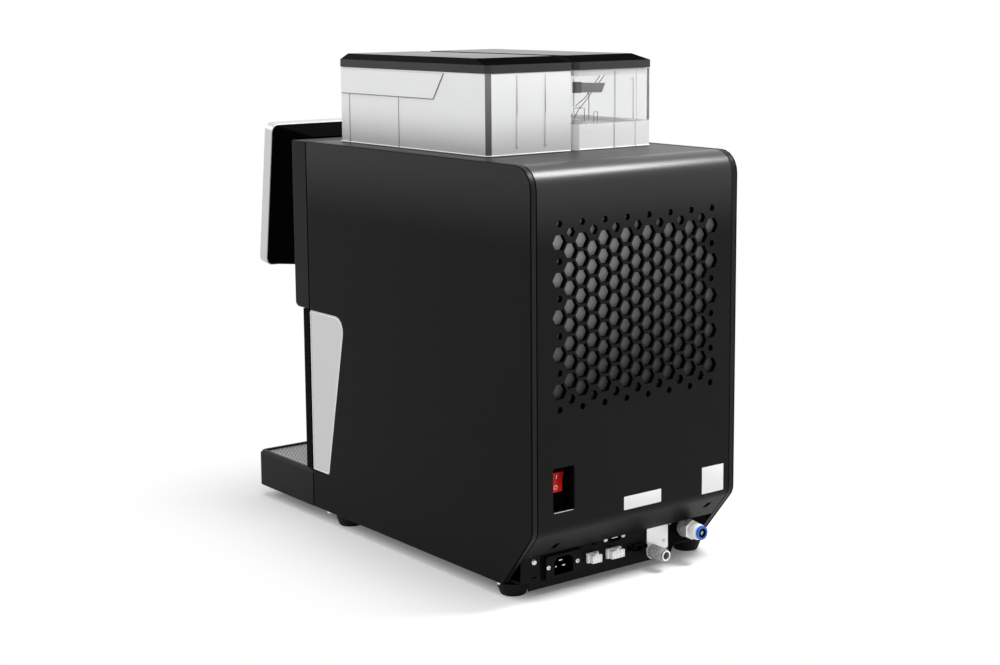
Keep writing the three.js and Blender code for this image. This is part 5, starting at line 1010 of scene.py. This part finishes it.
class MACHINE_OT_water(bpy.types.Operator):
    """Finish the drain, the water valve, its nut, fitting and collar"""
    bl_idname = "machine.water"
    bl_label = "Water fittings"

    def execute(self, context):
        dress(0.2, drain_plate="zinc", valve_bracket="dark_moulding")
        nipple = dressed("drain_nipple", "smoke", edge=0.2)
        mouth = box("drain_nipple")[1].y - 1.0
        refinish(nipple, "nylon", lambda c, n: n.y > 0.6 and c.y > mouth)
        line_bore("drain_nipple", nipple, "valve", 4.9)
        dressed("water_inlet_valve", "valve", edge=0.2)
        nut = dressed("fitting_nut", "valve", edge=0.3)
        refinish(nut, "nylon", lambda c, n: n.y > 0.3)
        for node, finish, bore in (("push_fitting", "nylon", 4.6), ("release_collar", "collar", 5.6)):
            line_bore(node, dressed(node, finish, edge=0.2), "dark_moulding", bore)
        low, high = box("release_collar")
        x, z, end = (low.x + high.x) / 2, (low.z + high.z) / 2, high.y
        inner, wall, lip = 2.9, 4.3, 5.5
        seal = turned([
            (inner, end - 6), (wall, end - 6), (wall, end + 0.02), (lip, end + 0.02), (lip, end + 0.3),
            (inner, end + 0.3)], x, z)
        keep("tube_seal", seal, "dark_moulding", "collar")
        keep("tube_stop", slab(ring(x, z, 2.7), end - 3.0, end - 1.5), "zinc", "collar")
        screws("drain_screws", [
            (-66.5, box("drain_plate")[1].y, 28.5, 0.8), (-79.4, box("valve_bracket")[1].y, 46.0, 0.5),
        ], "zinc")
        return {"FINISHED"}


class MACHINE_OT_labels(bpy.types.Operator):
    """Stick two bare paper labels on the rear cover"""
    bl_idname = "machine.labels"
    bl_label = "Labels"

    def execute(self, context):
        thick = settings()[0].label_thickness / MM
        glued = box("rear_cover")[1].y + 0.02
        for name, x0, x1, z0, z1 in (
                ("label_long", -35.9, 19.5, 87.0, 102.2), ("label_tall", -133.0, -99.1, 84.0, 115.4)):
            mesh = slab(rounded(x0, x1, z0, z1, 0.8), glued, glued + thick)
            keep(name, softened(mesh, 0.06), "paper")
        return {"FINISHED"}


class MACHINE_OT_inside(bpy.types.Operator):
    """Finish the vent's backing, grinder, brew unit, boiler, pump and control board"""
    bl_idname = "machine.inside"
    bl_label = "Inner parts"

    def execute(self, context):
        dress(
            0.3, vent_backing="backing", grinder_body="moulding", grinder_burr="steel",
            brew_unit="moulding", brew_piston="steel", boiler="steel", pump="alloy", control_board="board")
        return {"FINISHED"}


class MACHINE_OT_stage(bpy.types.Operator):
    """Add the pale floor, the lights, the room and the camera"""
    bl_idname = "machine.stage"
    bl_label = "Stage"

    def execute(self, context):
        stage = settings()[2]
        context.scene.view_settings.view_transform = "Standard"
        floor()
        room(stage.sky)
        area_light("Key light", stage.key_light, (0.35, 0.45), (-0.6, 0.62, 1.35), (0.1, 0.28, 0.46))
        area_light("Top light", stage.top_light, (2.0, 2.0), (0.1, 0.2, 2.3), (0.0, 0.0, 0.3))
        area_light("Side light", stage.side_light, (1.6, 1.6), (2.4, 0.9, 1.5), (0.0, 0.0, 0.25))
        area_light("Front light", stage.front_light, (0.8, 0.8), (1.3, -1.9, 1.5), (0.1, 0.0, 0.4))
        camera(stage.lens)
        return {"FINISHED"}


def area_light(name, power, size, place, aim):
    light = bpy.data.lights.new(name, "AREA")
    light.shape = "RECTANGLE"
    light.size, light.size_y = size
    light.energy = power
    lamp = add_object(name, light)
    lamp.location = place
    lamp.rotation_euler = (Vector(aim) - Vector(place)).to_track_quat("-Z", "Y").to_euler()


def backdrop_rays(tree):
    """1 for rays from the camera, off gloss or through glass, which see a white room; 0 for the rest."""
    paths = tree.nodes.new("ShaderNodeLightPath")
    camera_ray, glossy_ray, through_ray = (
        Value(tree, paths.outputs[key]) for key in ("Is Camera Ray", "Is Glossy Ray", "Is Transmission Ray"))
    return tree.node(
        "ShaderNodeMath", {0: camera_ray + glossy_ray + through_ray, 1: 1.0}, operation="MINIMUM")


def floor():
    """A pale floor that keeps the shadow near the machine and turns white further off."""
    finish = Finish("Pale floor")
    rays = backdrop_rays(finish)
    finish.set(
        Base_Color=shade(0.93, 1), Roughness=1.0, Specular_IOR_Level=0.0, Emission_Color=(1, 1, 1),
        Emission_Strength=rays * 0.10)
    beside, none = finish.place(), (0.0, 0.0, 0.0)
    for operation, other in (
            ("ABSOLUTE", none), ("SUBTRACT", (CAD_BOX[1].x, CAD_BOX[1].y, 0.0)), ("MAXIMUM", none)):
        beside = finish.node("ShaderNodeVectorMath", {0: beside, 1: other}, operation=operation)
    distance = finish.node("ShaderNodeVectorMath", {0: beside}, out="Value", operation="LENGTH")
    white = finish.node("ShaderNodeEmission", {"Color": (1, 1, 1), "Strength": 1.0})
    shadow_room, reach = 0.2, 9.0
    finish.cover(finish.rise(distance, 0.0, shadow_room) * rays, white)
    mesh = bpy.data.meshes.new("floor_mesh")
    mesh.from_pydata(
        [(x * reach, y * reach, 0) for x, y in ((-1, -1), (1, -1), (1, 1), (-1, 1))], [], [(0, 1, 2, 3)])
    mesh.materials.append(finish.material)
    add_object("floor", mesh)


def room(strength):
    world = bpy.data.worlds.new("Room")
    world.use_nodes = True
    bpy.context.scene.world = world
    tree = Tree(world.node_tree)
    back = tree.nodes["Background"]
    tree.feed(back.inputs["Color"], (1, 1, 1))
    tree.feed(back.inputs["Strength"], backdrop_rays(tree) * (1.0 - strength) + strength)


def camera(lens):
    """The photograph's view, worked out from the cabinet's straight edges."""
    eye = (1.292145, 1.739520, 0.652502)
    turn, rise, roll = math.radians(142.706485), math.radians(8.717031), -0.007713226
    data = bpy.data.cameras.new("Camera")
    data.sensor_width, data.sensor_fit, data.lens = 36.0, "HORIZONTAL", lens
    data.shift_y, data.clip_end = -0.0625, 50.0
    view = add_object("Camera", data)
    view.matrix_world = (
        Matrix.Translation(eye) @ Matrix.Rotation(turn, 4, "Z")
        @ Matrix.Rotation(math.pi / 2 - rise, 4, "X") @ Matrix.Rotation(roll, 4, "Z"))
    bpy.context.scene.camera = view


class MACHINE_PT_sidebar(bpy.types.Panel):
    """Lists the steps that finish the machine"""
    bl_idname = "MACHINE_PT_sidebar"
    bl_label = "Coffee machine"
    bl_space_type = "VIEW_3D"
    bl_region_type = "UI"
    bl_category = "Coffee machine"

    def draw(self, context):
        for group in settings():
            for key in group.__annotations__:
                self.layout.prop(group, key)
        for operator in OPERATORS:
            self.layout.operator(operator.bl_idname)


OPERATORS = (
    MACHINE_OT_cabinet, MACHINE_OT_door, MACHINE_OT_spout, MACHINE_OT_tray, MACHINE_OT_hoppers,
    MACHINE_OT_switch, MACHINE_OT_sockets, MACHINE_OT_water, MACHINE_OT_labels, MACHINE_OT_inside,
    MACHINE_OT_stage,
)
GROUPS = (
    ("machine_sizes", MachineSizes), ("machine_colours", MachineColours), ("machine_stage", MachineStage),
)


def register():
    for key, group in GROUPS:
        bpy.utils.register_class(group)
        setattr(bpy.types.Scene, key, bpy.props.PointerProperty(type=group))
    for operator in OPERATORS:
        bpy.utils.register_class(operator)
    bpy.utils.register_class(MACHINE_PT_sidebar)


def unregister():
    bpy.utils.unregister_class(MACHINE_PT_sidebar)
    for operator in reversed(OPERATORS):
        bpy.utils.unregister_class(operator)
    for key, group in reversed(GROUPS):
        delattr(bpy.types.Scene, key)
        bpy.utils.unregister_class(group)


def main():
    register()
    for operator in OPERATORS:
        getattr(bpy.ops.machine, operator.bl_idname.split(".")[1])()


if __name__ == "__main__":
    main()
